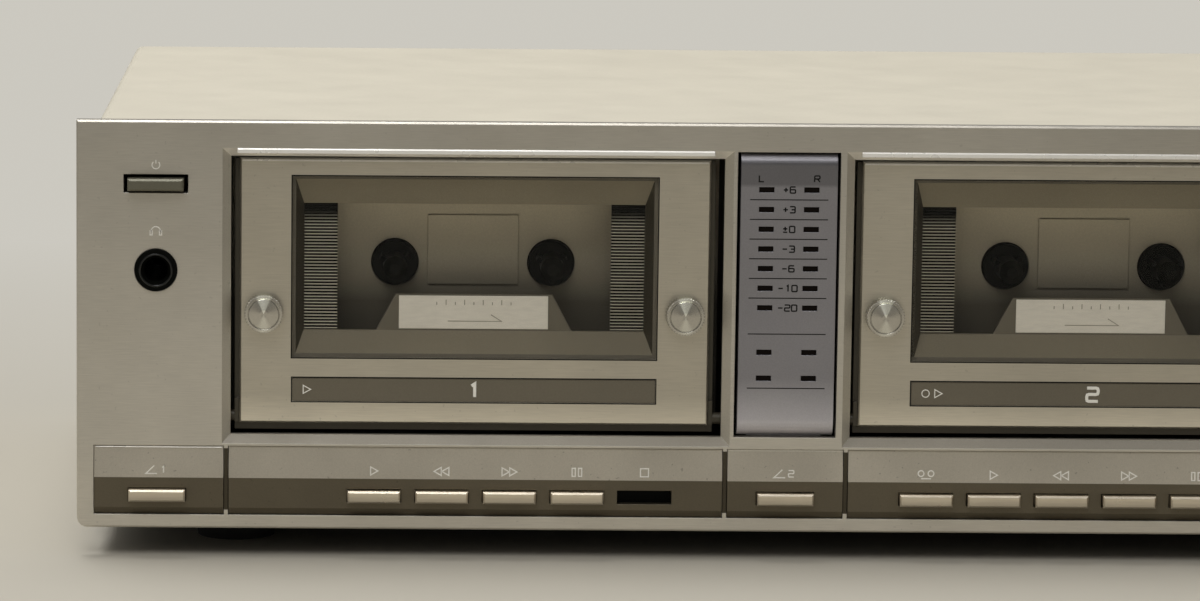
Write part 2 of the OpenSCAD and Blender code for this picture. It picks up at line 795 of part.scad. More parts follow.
// A rectangle with rounded lower corners
function round_low(w, h, r) =
  concat(arc([r, r], r, 180, 270, 6), arc([w - r, r], r, 270, 360, 6), [[w, h], [0, h]]);

// A sheet bent down at both ends
function bent_sheet(x0, x1, z0, z1, t, r) = concat(
  [[x0, z0]], arc([x0 + r, z1 - r], r, 180, 90, 6), arc([x1 - r, z1 - r], r, 90, 0, 6),
  [[x1, z0], [x1 - t, z0]],
  arc([x1 - r, z1 - r], r - t, 0, 90, 6), arc([x0 + r, z1 - r], r - t, 90, 180, 6),
  [[x0 + t, z0]]
);

// Outline of a belt round a wheel at the origin and a smaller one at distance d along x
function belt_line(d, r0, r1) =
  let (a = acos((r0 - r1) / d))
  concat(arc([0, 0], r0, a, 360 - a, 30), arc([d, 0], r1, -a, a, 16));

// A gripped edge with shallow grooves
function gripped(r, deep, n) =
  [for (i = [0 : 2 * n - 1])
    let (q = i % 2 == 0 ? r : r - deep)
    [q * cos(180 * i / n), q * sin(180 * i / n)]];

// The two holes of the case screws on each side
function case_ys() = [panel_t + foot_in_y, rear_y - foot_in_y];
case_z = floor_z + tray_wall / 2;

module front_panel() {
  color(silver) place() difference() {
    intersection() {
      push_y(round_low(panel_w, panel_h, panel_corner), 0, panel_t);
      flared([0, 0], [panel_w, panel_h], 0, panel_edge, panel_t, -panel_edge);
    }
    for (x = [left_w, left_w + deck_pitch])
      flared(
        [x, door_open_z], [x + door_open_w, door_open_z + door_open_h],
        -eps, door_chamfer, panel_t + eps, door_chamfer
      );
    block(
      [meter_x - meter_w / 2 - meter_gap, -eps, meter_z - meter_gap_z],
      [meter_x + meter_w / 2 + meter_gap, panel_t + eps, meter_top + meter_gap_z]
    );
    block_hole(block_end, cut_1 - half_rib);
    block_hole(cut_1 + half_rib, cut_2 - half_rib);
    block_hole(cut_2 + half_rib, cut_3 - half_rib);
    block_hole(cut_3 + half_rib, cut_4 - half_rib);
    block_hole(cut_4 + half_rib, panel_w - block_end);
    button_hole(panel_t + eps);
    bar_y(left_x, jack_z, -eps, panel_t + eps, jack_d + 2 * screw_play);
    bar_y(right_x, knob_z, -eps, panel_t + eps, bush_d + 2 * screw_play);
  }
}

// The panel's hole for a key block
module block_hole(x0, x1) {
  block([x0 - block_gap, -eps, sill_h - block_gap], [x1 + block_gap, panel_t + eps, block_top + block_gap]);
}

// The slot round the power button
module button_hole(y1) {
  block(
    [left_x - button_slot_w / 2, -eps, button_z - button_slot_h / 2],
    [left_x + button_slot_w / 2, y1, button_z + button_slot_h / 2]
  );
}

// A two-tone block with key slots at the given places, narrowed behind the panel to pass the tray's walls
module key_block(x0, x1, places, w) {
  in0 = max(x0, tray_x + block_gap);
  in1 = min(x1, panel_w - tray_x - block_gap);
  difference() {
    union() {
      run_x([
        [block_top_y, block_top], [-block_nose, block_top - block_slant_h],
        [-block_nose, sill_h + block_bevel_h], [block_bevel_y - block_nose, sill_h],
        [panel_t, sill_h], [panel_t, block_top]
      ], x0, x1);
      block([in0, panel_t - eps, sill_h], [in1, block_depth, block_top]);
      block(
        [in0, panel_t, sill_h - block_gap - tongue_lap],
        [in1, panel_t + tongue_t, block_top + block_gap + tongue_lap]
      );
    }
    block(
      [in0 + block_skin, block_wall, sill_h + block_skin],
      [in1 - block_skin, block_rear, block_top - block_skin]
    );
    for (x = places) {
      block(
        [x - w / 2 - key_gap, -block_nose - eps, key_z - slot_h / 2],
        [x + w / 2 + key_gap, block_wall + eps, key_z + slot_h / 2]
      );
      block(
        [x - stem_w / 2 - key_gap, block_rear - eps, key_z - stem_h / 2 - key_gap],
        [x + stem_w / 2 + key_gap, block_depth + eps, key_z + stem_h / 2 + key_gap]
      );
    }
  }
}

// The place of key i beside a deck's axis
function key_x(deck, i) = deck - key_first + i * key_pitch;

module key_strip_1() {
  color(taupe) place()
    key_block(cut_1 + half_rib, cut_2 - half_rib, [for (i = [1 : 5]) key_x(deck_1, i)], key_w);
}

module key_strip_2() {
  color(taupe) place()
    key_block(cut_3 + half_rib, cut_4 - half_rib, [for (i = [0 : 5]) key_x(deck_2, i)], key_w);
}

module end_blocks() {
  color(taupe) place() {
    key_block(block_end, cut_1 - half_rib, [eject_x], eject_w);
    key_block(cut_2 + half_rib, cut_3 - half_rib, [middle_x], eject_w);
    key_block(cut_4 + half_rib, panel_w - block_end, [right_x], eject_w);
  }
}

// The part of a key behind the block's front wall
module key_rear(x, w) {
  block(
    [x - w / 2 - collar_w, block_wall + collar_play, key_z - key_h / 2 - collar_h],
    [x + w / 2 + collar_w, block_wall + collar_play + collar_t, key_z + key_h / 2 + collar_h]
  );
  block([x - w / 2, block_wall + collar_play, key_z - key_h / 2], [x + w / 2, stem_y, key_z + key_h / 2]);
  block(
    [x - stem_w / 2, stem_y - eps, key_z - stem_h / 2],
    [x + stem_w / 2, block_depth + stem_past, key_z + stem_h / 2]
  );
}

// A whole key
module key(x, w) {
  color(bright) place() union() {
    flared(
      [x - w / 2, key_z - key_h / 2], [x + w / 2, key_z + key_h / 2],
      -key_proud, key_edge - key_proud, stem_y, -key_edge
    );
    key_rear(x, w);
  }
}

module eject_key_1() { key(eject_x, eject_w); }
module eject_key_2() { key(middle_x, eject_w); }
module dubbing_key() { key(right_x, eject_w); }
module play_key_1() { key(key_x(deck_1, 1), key_w); }
module rewind_key_1() { key(key_x(deck_1, 2), key_w); }
module forward_key_1() { key(key_x(deck_1, 3), key_w); }
module pause_key_1() { key(key_x(deck_1, 4), key_w); }
module stop_lever_1() { color(black) place() union() key_rear(key_x(deck_1, 5), key_w); }
module record_key_2() { key(key_x(deck_2, 0), key_w); }
module play_key_2() { key(key_x(deck_2, 1), key_w); }
module rewind_key_2() { key(key_x(deck_2, 2), key_w); }
module forward_key_2() { key(key_x(deck_2, 3), key_w); }
module pause_key_2() { key(key_x(deck_2, 4), key_w); }
module stop_key_2() { key(key_x(deck_2, 5), key_w); }

module power_button() {
  color(bright) place() translate([left_x, 0, button_z]) union() {
    flared(
      [-button_w / 2, -button_h / 2], [button_w / 2, button_h / 2],
      -button_proud, key_edge - button_proud, panel_t + button_in, -key_edge
    );
    block(
      [-stem_w / 2, panel_t + button_in - eps, -stem_h / 2],
      [stem_w / 2, panel_t + button_in + button_stem, stem_h / 2]
    );
  }
}

module power_switch() {
  color(black) place() difference() {
    block(
      [left_x - switch_w / 2, panel_t, button_z - switch_h / 2],
      [left_x + switch_w / 2, panel_t + switch_l, button_z + switch_h / 2]
    );
    button_hole(panel_t + switch_pocket);
    block(
      [left_x - stem_w / 2 - key_gap, panel_t, button_z - stem_h / 2 - key_gap],
      [left_x + stem_w / 2 + key_gap, panel_t + switch_l + eps, button_z + stem_h / 2 + key_gap]
    );
  }
}

module phones_jack() {
  color(black) place() difference() {
    union() {
      bar_y(left_x, jack_z, -jack_proud, panel_t + eps, jack_d);
      block(
        [left_x - jack_body / 2, panel_t, jack_z - jack_body / 2],
        [left_x + jack_body / 2, panel_t + jack_l, jack_z + jack_body / 2]
      );
    }
    bar_y(left_x, jack_z, -jack_proud - eps, panel_t + jack_l + eps, jack_bore_d);
    cone_y(left_x, jack_z, -jack_proud - eps, jack_mouth - jack_proud, jack_mouth_d, jack_bore_d);
  }
}

module meter_panel() {
  y1 = panel_t + tab_t;
  color([0.55, 0.55, 0.6]) place() difference() {
    union() {
      run_x(concat(
        [[y1, meter_z]],
        arc([meter_low_r - meter_proud, meter_z + meter_low_r], meter_low_r, 270, 180, 8),
        arc([meter_top_r - meter_proud, meter_top - meter_top_r], meter_top_r, 180, 90, 8),
        [[y1, meter_top]]
      ), meter_x - meter_w / 2, meter_x + meter_w / 2);
      block(
        [meter_x - tab_w / 2, panel_t, meter_z - meter_gap_z - tab_lap],
        [meter_x + tab_w / 2, y1, meter_top + meter_gap_z + tab_lap]
      );
    }
    lens_set(-meter_proud - eps, y1 + eps, lens_gap);
  }
}

module meter_lenses() {
  color([0.2, 0.12, 0.1]) place() lens_set(lens_back - meter_proud, panel_t + tab_t, 0);
}

// All lenses, each grown by a gap
module lens_set(y0, y1, gap) {
  for (x = [meter_x - lens_x, meter_x + lens_x], z = lens_zs)
    block([x - lens_w / 2 - gap, y0, z - lens_h / 2 - gap], [x + lens_w / 2 + gap, y1, z + lens_h / 2 + gap]);
}

// A door's front plate round its window
module door_plate(deck) {
  color(silver) place() translate([deck, 0, 0]) difference() {
    flared(
      [-plate_w / 2, plate_z], [plate_w / 2, plate_z + plate_h],
      plate_y, plate_y + plate_edge, frame_y, -plate_edge
    );
    block([-window_w / 2, plate_y - eps, window_z], [window_w / 2, frame_y + eps, window_z + window_h]);
    block(
      [-legend_w / 2, plate_y - eps, legend_z],
      [legend_w / 2, plate_y + legend_deep, legend_z + legend_h]
    );
    for (x = [-thumb_x, thumb_x])
      bar_y(x, thumb_z, plate_y - eps, frame_y + eps, thumb_shank_d + 2 * screw_play);
  }
}

module door_plate_1() { door_plate(deck_1); }
module door_plate_2() { door_plate(deck_2); }

// A clear pane
module door_window(deck) {
  color([0.4, 0.4, 0.38, 0.4]) place() translate([deck, 0, 0])
    block(
      [pane_gap - window_w / 2, plate_y + pane_back, window_z + pane_gap],
      [window_w / 2 - pane_gap, pane_rear, window_z + window_h - pane_gap]
    );
}

module door_window_1() { door_window(deck_1); }
module door_window_2() { door_window(deck_2); }

// A door's holder: frame, bezel, head cover, ribbed strips, cassette channels and hinge pins
module cassette_holder(deck) {
  color(taupe) place() translate([deck, 0, 0]) {
    holder_frame();
    for (s = [0, 1]) mirror([s, 0, 0]) {
      holder_rails();
      ribbed_strip();
    }
  }
}

// The moulded part of a holder
module holder_frame() {
  difference() {
    union() {
      block(
        [-frame_x, frame_y, plate_z - frame_foot],
        [frame_x, frame_y + frame_t, plate_z + plate_h - frame_in]
      );
      block(
        [-mouth_x - bezel_wall, frame_y, mouth_z[0] - bezel_wall],
        [mouth_x + bezel_wall, strip_y, mouth_z[1] + bezel_wall]
      );
      for (s = [0, 1]) mirror([s, 0, 0]) holder_hinge(s == 0 ? well_right : well_left);
    }
    block(
      [-window_w / 2, frame_y - eps, window_z],
      [window_w / 2, frame_y + seat_deep, window_z + window_h]
    );
    difference() {
      funnel(
        [-mouth_x, mouth_z[0]], [mouth_x, mouth_z[1]],
        [-bezel_w / 2, bezel_z], [bezel_w / 2, bezel_z + bezel_h],
        pane_rear - eps, lip_y, strip_y + eps
      );
      push_y([
        [-hood_w / 2, bezel_z - eps], [hood_w / 2, bezel_z - eps],
        [hood_top_w / 2, bezel_z + hood_h], [-hood_top_w / 2, bezel_z + hood_h]
      ], lip_y, strip_y);
    }
    for (x = [-thumb_x, thumb_x])
      bar_y(x, thumb_z, frame_y - eps, frame_y + frame_t + eps, thumb_shank_d + 2 * screw_play);
  }
}

// The strip in front of a cassette's end, on the holder's right half, with the ribs that show in the bezel
module ribbed_strip() {
  n = floor(bezel_h / rib_pitch);
  union() {
    block(
      [strip_in, strip_y + strip_gap, holder_low + shelf_t + strip_gap],
      [channel_in - strip_gap, strip_y + strip_t, holder_top]
    );
    run_x(concat(
      [[strip_y + strip_t - eps, bezel_z + strip_gap], [strip_y, bezel_z + strip_gap]],
      [for (i = [0 : n - 1], p = [[0, 0.2], [1, 0.35], [1, 0.65], [0, 0.8]])
        [strip_y - p[0] * rib_h, bezel_z + (i + p[1]) * rib_pitch]],
      [[strip_y, bezel_z + bezel_h - strip_gap], [strip_y + strip_t - eps, bezel_z + bezel_h - strip_gap]]
    ), strip_in, bezel_w / 2 - strip_gap);
  }
}

// The rails round a cassette's end on the holder's right half: side, rear lip and shelf, with fit gaps
module holder_rails() {
  block(
    [channel_in, frame_y + frame_t + strip_gap, holder_low],
    [channel_in + channel_t, holder_rear, holder_top]
  );
  block([channel_in - rear_lip, channel_rear, bezel_z], [channel_in - strip_gap, holder_rear, holder_top]);
  block(
    [shelf_in, strip_y + strip_gap, holder_low],
    [channel_in - strip_gap, holder_rear, holder_low + shelf_t]
  );
}

// The lug and hinge pin on the holder's right half
module holder_hinge(reach) {
  block(
    [channel_in + channel_t + strip_gap, frame_y, hinge_z - hinge_r],
    [lug_x, hinge_y - hinge_r + lug_y, hinge_z - hinge_r + lug_h]
  );
  block(
    [lug_x - lug_t, hinge_y - hinge_r, hinge_z - hinge_r],
    [lug_x, frame_y + eps, hinge_z - hinge_r + lug_h]
  );
  bar_x(lug_x - eps, reach + well_t, hinge_y, hinge_z, 2 * hinge_r);
}

module cassette_holder_1() { cassette_holder(deck_1); }
module cassette_holder_2() { cassette_holder(deck_2); }

// The two thumbscrews of a door
module thumbscrews(deck) {
  y0 = plate_y - thumb_h;
  y1 = y0 + thumb_cone + thumb_ring_t;
  color(bright) place() translate([deck, 0, 0]) for (x = [-thumb_x, thumb_x]) difference() {
    union() {
      translate([x, 0, thumb_z])
        push_y(gripped(thumb_d / 2, thumb_groove, thumb_teeth), y0 + thumb_cone, plate_y);
      cone_y(x, thumb_z, y0, y0 + thumb_cone + eps, thumb_flat, thumb_d - 2 * thumb_groove);
      bar_y(x, thumb_z, plate_y - eps, plate_y + thumb_shank, thumb_shank_d);
    }
    difference() {
      bar_y(x, thumb_z, y0 - eps, y1, thumb_ring_d + thumb_ring_t);
      bar_y(x, thumb_z, y0 - 2 * eps, y1 + eps, thumb_ring_d - thumb_ring_t);
    }
  }
}

module thumbscrews_1() { thumbscrews(deck_1); }
module thumbscrews_2() { thumbscrews(deck_2); }

// The dark tunnel behind a door opening, with the hinge bores
module cassette_well(deck) {
  color(black) place() translate([deck, 0, 0]) difference() {
    block(
      [-well_left - well_t, panel_t, well_low - well_t],
      [well_right + well_t, back_y, well_top + well_t]
    );
    block([-well_left, panel_t - eps, well_low], [well_right, back_y + eps, well_top]);
    bar_x(-well_left - well_t - eps, well_right + well_t + eps, hinge_y, hinge_z, 2 * (hinge_r + run_gap));
    block(
      [-bridge_w / 2 - bridge_room, bridge_y - head_l - bridge_room, well_low - well_t - eps],
      [bridge_w / 2 + bridge_room, back_y + eps, well_low + eps]
    );
  }
}

module cassette_well_1() { cassette_well(deck_1); }
module cassette_well_2() { cassette_well(deck_2); }

// The wall behind a cassette, with its bearings
module deck_wall(deck) {
  color(grey) place() translate([deck, 0, 0]) difference() {
    union() {
      block([-well_left - well_t, back_y, floor_z], [well_right + well_t, wall_rear, well_top + well_t]);
      block([-pad_w / 2, back_y - pad_t, pad_z], [pad_w / 2, back_y + eps, pad_z + pad_h]);
      for (x = [-post_x, post_x]) bar_y(x, reel_z, wall_rear - eps, bar_y + bar_t, post_d);
      block([-post_x, bar_y, reel_z - bar_h / 2], [post_x, bar_y + bar_t, reel_z + bar_h / 2]);
      bar_y(capstan_x, capstan_z, wall_rear - eps, wall_rear + bearing_l, bearing_d);
    }
    for (x = [-reel_pitch / 2, reel_pitch / 2]) {
      bar_y(x, reel_z, back_y - eps, wall_rear + eps, reel_d + 2 * reel_gap);
      bar_y(x, reel_z, bar_y - eps, bar_y + bar_t + eps, journal_d + 2 * run_gap);
    }
    bar_y(capstan_x, capstan_z, back_y - eps, wall_rear + bearing_l + eps, capstan_d + 2 * run_gap);
    for (x = [-guide_x, guide_x])
      block(
        [x - guide_d / 2 - guide_play, back_y - eps, guide_z - guide_d / 2 - guide_play],
        [x + guide_d / 2 + guide_play, wall_rear + eps, guide_z + guide_d / 2 + guide_play + bridge_travel]
      );
  }
}

module deck_wall_1() { deck_wall(deck_1); }
module deck_wall_2() { deck_wall(deck_2); }

// A reel spindle with its rear disc and journal
module reel_spindle(x) {
  y0 = back_y - hub_reach;
  y1 = back_y - reel_rise;
  color(black) place() translate([x, 0, reel_z]) union() {
    cone_y(0, 0, y0, y0 + tip_l + eps, tip_d, hub_d);
    bar_y(0, 0, y0 + tip_l, y1 + eps, hub_d);
    for (a = [90, 210, 330]) rotate([0, a, 0])
      block([0, y1 - fin_l, -fin_t / 2], [fin_r, y1 + eps, fin_t / 2]);
    bar_y(0, 0, y1, disc_y + eps, reel_d);
    bar_y(0, 0, disc_y, disc_y + disc_t, disc_d);
    bar_y(0, 0, disc_y + disc_t - eps, bar_y + bar_t, journal_d);
  }
}

module supply_spindle_1() { reel_spindle(deck_1 - reel_pitch / 2); }
module takeup_spindle_1() { reel_spindle(deck_1 + reel_pitch / 2); }
module supply_spindle_2() { reel_spindle(deck_2 - reel_pitch / 2); }
module takeup_spindle_2() { reel_spindle(deck_2 + reel_pitch / 2); }

// A flywheel with its capstan
module flywheel(x) {
  color(steel) place() translate([x, 0, capstan_z]) union() {
    bar_y(0, 0, back_y - capstan_reach, wheel_y + eps, capstan_d);
    bar_y(0, 0, wheel_y, wheel_y + flywheel_t, flywheel_d);
  }
}

module flywheel_1() { flywheel(deck_1 + capstan_x); }
module flywheel_2() { flywheel(deck_2 + capstan_x); }

module motor_pulley() {
  color([0.8, 0.65, 0.35]) place() translate([motor_x, 0, capstan_z]) union() {
    bar_y(0, 0, wheel_y, wheel_y + flywheel_t, pulley_d);
    bar_y(0, 0, wheel_y + flywheel_t - eps, bracket_y + sheet_t + motor_shaft_in, motor_shaft_d);
  }
}

module drive_motor() {
  y0 = bracket_y + sheet_t;
  color(steel) place() translate([motor_x, 0, capstan_z]) difference() {
    bar_y(0, 0, y0, y0 + motor_l, motor_d);
    bar_y(0, 0, y0 - eps, y0 + motor_shaft_in + 1, motor_shaft_d + 2 * run_gap);
  }
}

// A belt from a flywheel to the motor pulley
module belt(x, side, y) {
  r0 = flywheel_d / 2 + belt_gap;
  r1 = pulley_d / 2 + belt_gap;
  translate([x, 0, capstan_z]) mirror([side, 0, 0]) difference() {
    push_y(belt_line(belt_run, r0 + belt_t, r1 + belt_t), y, y + belt_w);
    push_y(belt_line(belt_run, r0, r1), y - eps, y + belt_w + eps);
  }
}

module drive_belts() {
  color(black) place() {
    belt(deck_1 + capstan_x, 0, belt_1_y);
    belt(deck_2 + capstan_x, 1, belt_2_y);
  }
}

// The plate that lifts the heads and the pinch roller into a cassette
module head_bridge(deck) {
  color(steel) place() translate([deck, 0, 0]) union() {
    block([-bridge_w / 2, bridge_y, bridge_low], [bridge_w / 2, bridge_rear, bridge_top]);
    for (x = [-guide_x, guide_x]) bar_y(x, guide_z, bridge_rear - eps, wall_rear + guide_d, guide_d);
    block(
      [-head_w / 2, bridge_y - head_l, cassette_z - head_drop - head_h],
      [head_w / 2, bridge_y + eps, cassette_z - head_drop]
    );
    block(
      [-erase_x - erase_w / 2, bridge_y - head_l, cassette_z - head_drop - erase_drop - head_h],
      [erase_w / 2 - erase_x, bridge_y + eps, cassette_z - head_drop - erase_drop]
    );
    bar_y(capstan_x, roller_z, roller_rear - roller_w, bridge_y + eps, roller_pin_d);
  }
}

module head_bridge_1() { head_bridge(deck_1); }
module head_bridge_2() { head_bridge(deck_2); }

// A pinch roller on its bridge's pin
module pinch_roller(deck) {
  color(black) place() translate([deck + capstan_x, 0, roller_z]) difference() {
    bar_y(0, 0, roller_rear - roller_w, roller_rear, roller_d);
    bar_y(0, 0, roller_rear - roller_w - eps, roller_rear + eps, roller_pin_d + 2 * run_gap);
  }
}

module pinch_roller_1() { pinch_roller(deck_1); }
module pinch_roller_2() { pinch_roller(deck_2); }

module level_control() {
  color(steel) place() translate([right_x, 0, knob_z]) difference() {
    union() {
      bar_y(0, 0, -ring_proud, panel_t + eps, bush_d);
      bar_y(0, 0, panel_t, panel_t + pot_l, pot_d);
    }
    bar_y(0, 0, -ring_proud - eps, panel_t + pot_l / 2, knob_shaft_d + 2 * run_gap);
  }
}

// The outer knob, turning on the bush
module level_ring() {
  color(bright) place() translate([right_x, 0, knob_z]) difference() {
    cone_y(0, 0, -ring_proud, -ring_off, ring_front_d, ring_d);
    bar_y(0, 0, -ring_proud - eps, -ring_off + eps, bush_d + 2 * run_gap);
    block(
      [-pointer_w / 2, -ring_proud - eps, inner_d / 2 + pointer_w],
      [pointer_w / 2, pointer_deep - ring_proud, ring_d]
    );
  }
}

// The inner knob, turning in the bush
module level_knob() {
  y1 = -ring_proud - inner_off;
  color(bright) place() translate([right_x, 0, knob_z]) difference() {
    union() {
      cone_y(0, 0, -knob_proud, y1, inner_front_d, inner_d);
      bar_y(0, 0, y1 - eps, panel_t + pot_l / 2 - pointer_w, knob_shaft_d);
    }
    block(
      [-pointer_w / 2, -knob_proud - eps, pointer_w],
      [pointer_w / 2, pointer_deep - knob_proud, inner_d]
    );
  }
}

module top_cover() {
  color([0.84, 0.79, 0.68]) place() difference() {
    push_y(
      bent_sheet(cover_inset, panel_w - cover_inset, floor_up, cover_top, sheet_t, cover_bend),
      panel_t, body_depth
    );
    for (y = case_ys()) bar_x(-eps, panel_w + eps, y, case_z, case_shank_d + 2 * screw_play);
  }
}

module bottom_chassis() {
  color([0.2, 0.2, 0.2]) place() difference() {
    union() {
      block([cover_x, panel_t, floor_up], [panel_w - cover_x, rear_y, floor_z]);
      for (x = [cover_x, panel_w - tray_x])
        block([x, panel_t, floor_up], [x + sheet_t, rear_y, floor_z + tray_wall]);
      block(
        [motor_x - bracket_w / 2, bracket_y, floor_up],
        [motor_x + bracket_w / 2, bracket_y + sheet_t, capstan_z + bracket_top]
      );
      for (p = board_posts()) bar_z(p[0], p[1], floor_up, floor_z + board_post, board_post_d);
    }
    bar_y(motor_x, capstan_z, bracket_y - eps, bracket_y + sheet_t + eps, pulley_d);
    for (y = case_ys()) bar_x(-eps, panel_w + eps, y, case_z, case_shank_d + 2 * screw_play);
    for (i = [0 : 8])
      block(
        [deck_1 + i * vent_pitch, rear_y - foot_in_y - vent_l, floor_up - eps],
        [deck_1 + i * vent_pitch + vent_w, rear_y - foot_in_y, floor_z + eps]
      );
  }
}

// The board's corner nearest the rear right
function board_far() = [panel_w - tray_x - board_x, rear_y - board_y];

// The posts under the board
function board_posts() =
  [for (x = [board_in, board_w - board_in], y = [board_in, board_l - board_in]) board_far() - [x, y]];

module main_board() {
  z0 = floor_z + board_post;
  far = board_far();
  color([0.25, 0.4, 0.22]) place() union() {
    block([far[0] - board_w, far[1] - board_l, z0], [far[0], far[1], z0 + board_t]);
    for (i = [1 : cap_n])
      bar_z(far[0] - i * cap_pitch, far[1] - cap_in, z0 + board_t - eps, z0 + board_t + cap_h, cap_d);
  }
}

module power_transformer() {
  x1 = panel_w - core_x;
  x0 = x1 - core_w;
  y1 = board_far()[1] - board_l - core_gap;
  y0 = y1 - core_l;
  color([0.35, 0.25, 0.18]) place() union() {
    block([x0, y0, floor_z], [x1, y1, floor_z + core_h]);
    block(
      [x0 + coil_in, y0 - coil_out, floor_z + coil_in],
      [x1 - coil_in, y1 + coil_out, floor_z + core_h - coil_in]
    );
  }
}

// The axes of the sockets, as seen from the front
function socket_spots() =
  [for (x = [-0.5, 0.5], z = [-0.5, 0.5]) [socket_x + x * socket_pitch, socket_z + z * socket_pitch]];

module rear_panel() {
  color([0.2, 0.2, 0.2]) place() difference() {
    block([cover_x, rear_y, floor_up], [panel_w - cover_x, body_depth, cover_top - cover_bend]);
    for (p = socket_spots()) bar_y(p[0], p[1], rear_y - eps, body_depth + eps, sleeve_d + 2 * screw_play);
    bar_y(panel_w - gland_in, gland_z, rear_y - eps, body_depth + eps, gland_d + 2 * screw_play);
  }
}

module phono_sockets() {
  half = socket_pitch / 2 + sleeve_d;
  end = body_depth + socket_proud;
  color(black) place() {
    block(
      [socket_x - half, rear_y - socket_base, socket_z - half],
      [socket_x + half, rear_y, socket_z + half]
    );
    for (p = socket_spots()) difference() {
      bar_y(p[0], p[1], rear_y + sleeve_gap, end, sleeve_d);
      bar_y(p[0], p[1], rear_y, end + eps, socket_bore_d);
    }
  }
}

module mains_gland() {
  color(black) place() translate([panel_w - gland_in, 0, gland_z]) difference() {
    union() {
      bar_y(0, 0, body_depth, body_depth + gland_flange, gland_flange_d);
      bar_y(0, 0, rear_y - gland_in_l, body_depth + eps, gland_d);
    }
    bar_y(0, 0, rear_y - gland_in_l - eps, body_depth + gland_flange + eps, gland_bore_d);
  }
}

module feet() {
  color(black) place()
    for (x = [foot_in_x, panel_w - foot_in_x], y = [foot_in_y, body_depth - foot_in_y])
      translate([x, y, -foot_gap]) cylinder(d1 = foot_base_d, d2 = foot_d, h = foot_gap + floor_up);
}

module case_screws() {
  color(steel) place() for (s = [0, 1], y = case_ys())
    translate([s * panel_w, 0, 0]) mirror([s, 0, 0]) union() {
      bar_x(cover_inset - case_head_h, cover_inset, y, case_z, case_head_d);
      bar_x(cover_inset - eps, cover_inset + case_shank, y, case_z, case_shank_d);
    }
}

front_panel();
bottom_chassis();
top_cover();
rear_panel();
feet();
case_screws();
key_strip_1();
key_strip_2();
end_blocks();
meter_panel();
meter_lenses();
phones_jack();
power_switch();
level_control();
cassette_well_1();
cassette_well_2();
deck_wall_1();
deck_wall_2();
drive_motor();
drive_belts();
main_board();
power_transformer();
phono_sockets();
mains_gland();
door_plate_1();
door_window_1();
cassette_holder_1();
thumbscrews_1();
door_plate_2();
door_window_2();
cassette_holder_2();
thumbscrews_2();
power_button();
eject_key_1();
eject_key_2();
dubbing_key();
play_key_1();
rewind_key_1();
forward_key_1();
pause_key_1();
stop_lever_1();
record_key_2();
play_key_2();
rewind_key_2();
forward_key_2();
pause_key_2();
stop_key_2();
level_ring();
level_knob();
supply_spindle_1();
takeup_spindle_1();
supply_spindle_2();
takeup_spindle_2();
flywheel_1();
flywheel_2();
motor_pulley();
head_bridge_1();
head_bridge_2();
pinch_roller_1();
pinch_roller_2();
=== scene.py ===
"""Looks of the double cassette recorder: materials, printed signs, small trim, light and camera."""
import json
from math import cos, pi, radians, sin

import bmesh
import bpy
from mathutils import Matrix, Vector


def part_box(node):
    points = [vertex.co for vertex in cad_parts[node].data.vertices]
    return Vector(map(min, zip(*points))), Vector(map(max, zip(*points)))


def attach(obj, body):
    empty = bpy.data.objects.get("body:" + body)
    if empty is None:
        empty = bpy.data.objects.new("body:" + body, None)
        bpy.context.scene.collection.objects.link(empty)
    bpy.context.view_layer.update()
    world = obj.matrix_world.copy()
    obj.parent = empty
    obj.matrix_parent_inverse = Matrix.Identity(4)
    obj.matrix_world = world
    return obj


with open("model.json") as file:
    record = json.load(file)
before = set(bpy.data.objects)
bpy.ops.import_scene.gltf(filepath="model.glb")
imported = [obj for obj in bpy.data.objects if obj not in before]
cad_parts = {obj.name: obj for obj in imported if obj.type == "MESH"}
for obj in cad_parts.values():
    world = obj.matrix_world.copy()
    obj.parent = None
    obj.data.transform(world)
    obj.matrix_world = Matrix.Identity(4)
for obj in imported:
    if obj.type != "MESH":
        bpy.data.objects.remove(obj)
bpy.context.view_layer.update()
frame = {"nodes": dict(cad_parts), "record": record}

MM = 0.001
DECKS = (1, 2)
KNOBS = ("level_ring", "level_knob")

# Panel coordinates run in mm right, back and up from the front panel's lower left front corner
PANEL_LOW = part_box("front_panel")[0]


def at(u, d, v):
    """A point in the row frame from panel coordinates."""
    return PANEL_LOW + Vector((u, d, v)) * MM


def on_panel(point):
    """Panel coordinates of a point in the row frame."""
    return (point - PANEL_LOW) / MM


def panel_box(node):
    """A node's lowest and highest corners in panel coordinates."""
    low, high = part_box(node)
    return on_panel(low), on_panel(high)


def middle(node):
    """The middle of a node's box in panel coordinates."""
    low, high = panel_box(node)
    return (low + high) / 2


# How far print stands proud of its surface, and how far print and trim sink into it
INK = 0.03
SUNK = 0.01

# Places taken from the frame
AXIS = {deck: middle(f"door_plate_{deck}").x for deck in DECKS}
PLATE_LOW = panel_box("door_plate_1")[0]
PLATE_MID = middle("door_plate_1")
METER_LOW, METER_HIGH = panel_box("meter_panel")
METER_X = middle("meter_panel").x
LENS_LOW, LENS_HIGH = panel_box("meter_lenses")
STRIP_LOW = panel_box("key_strip_1")[0]
BLOCKS_LOW, BLOCKS_HIGH = panel_box("end_blocks")
REAR_LOW, REAR_HIGH = panel_box("rear_panel")
KEY_Z = [corner.z for corner in panel_box("play_key_1")]

# Key blocks: the slanted upper face starts above the taupe band
BLOCK_TOP = 22.3
SLANT_LOW = 13.8
SLANT_FRONT = STRIP_LOW.y
SLANT_BACK = 0.5
# Depth below the top and blur of the painted highlight along the end blocks' top edge
PAINTED_HIGHLIGHT_DEPTH = 0.4
PAINTED_HIGHLIGHT_BLUR = 0.08

# Painted shade in the grooves between the key blocks, left out at foot and head
GROOVE_W = 1.4
GROOVE_FOOT = 2.0
GROOVE_HEAD = 0.5
GROOVE_PAINTED_SHADE = 0.5

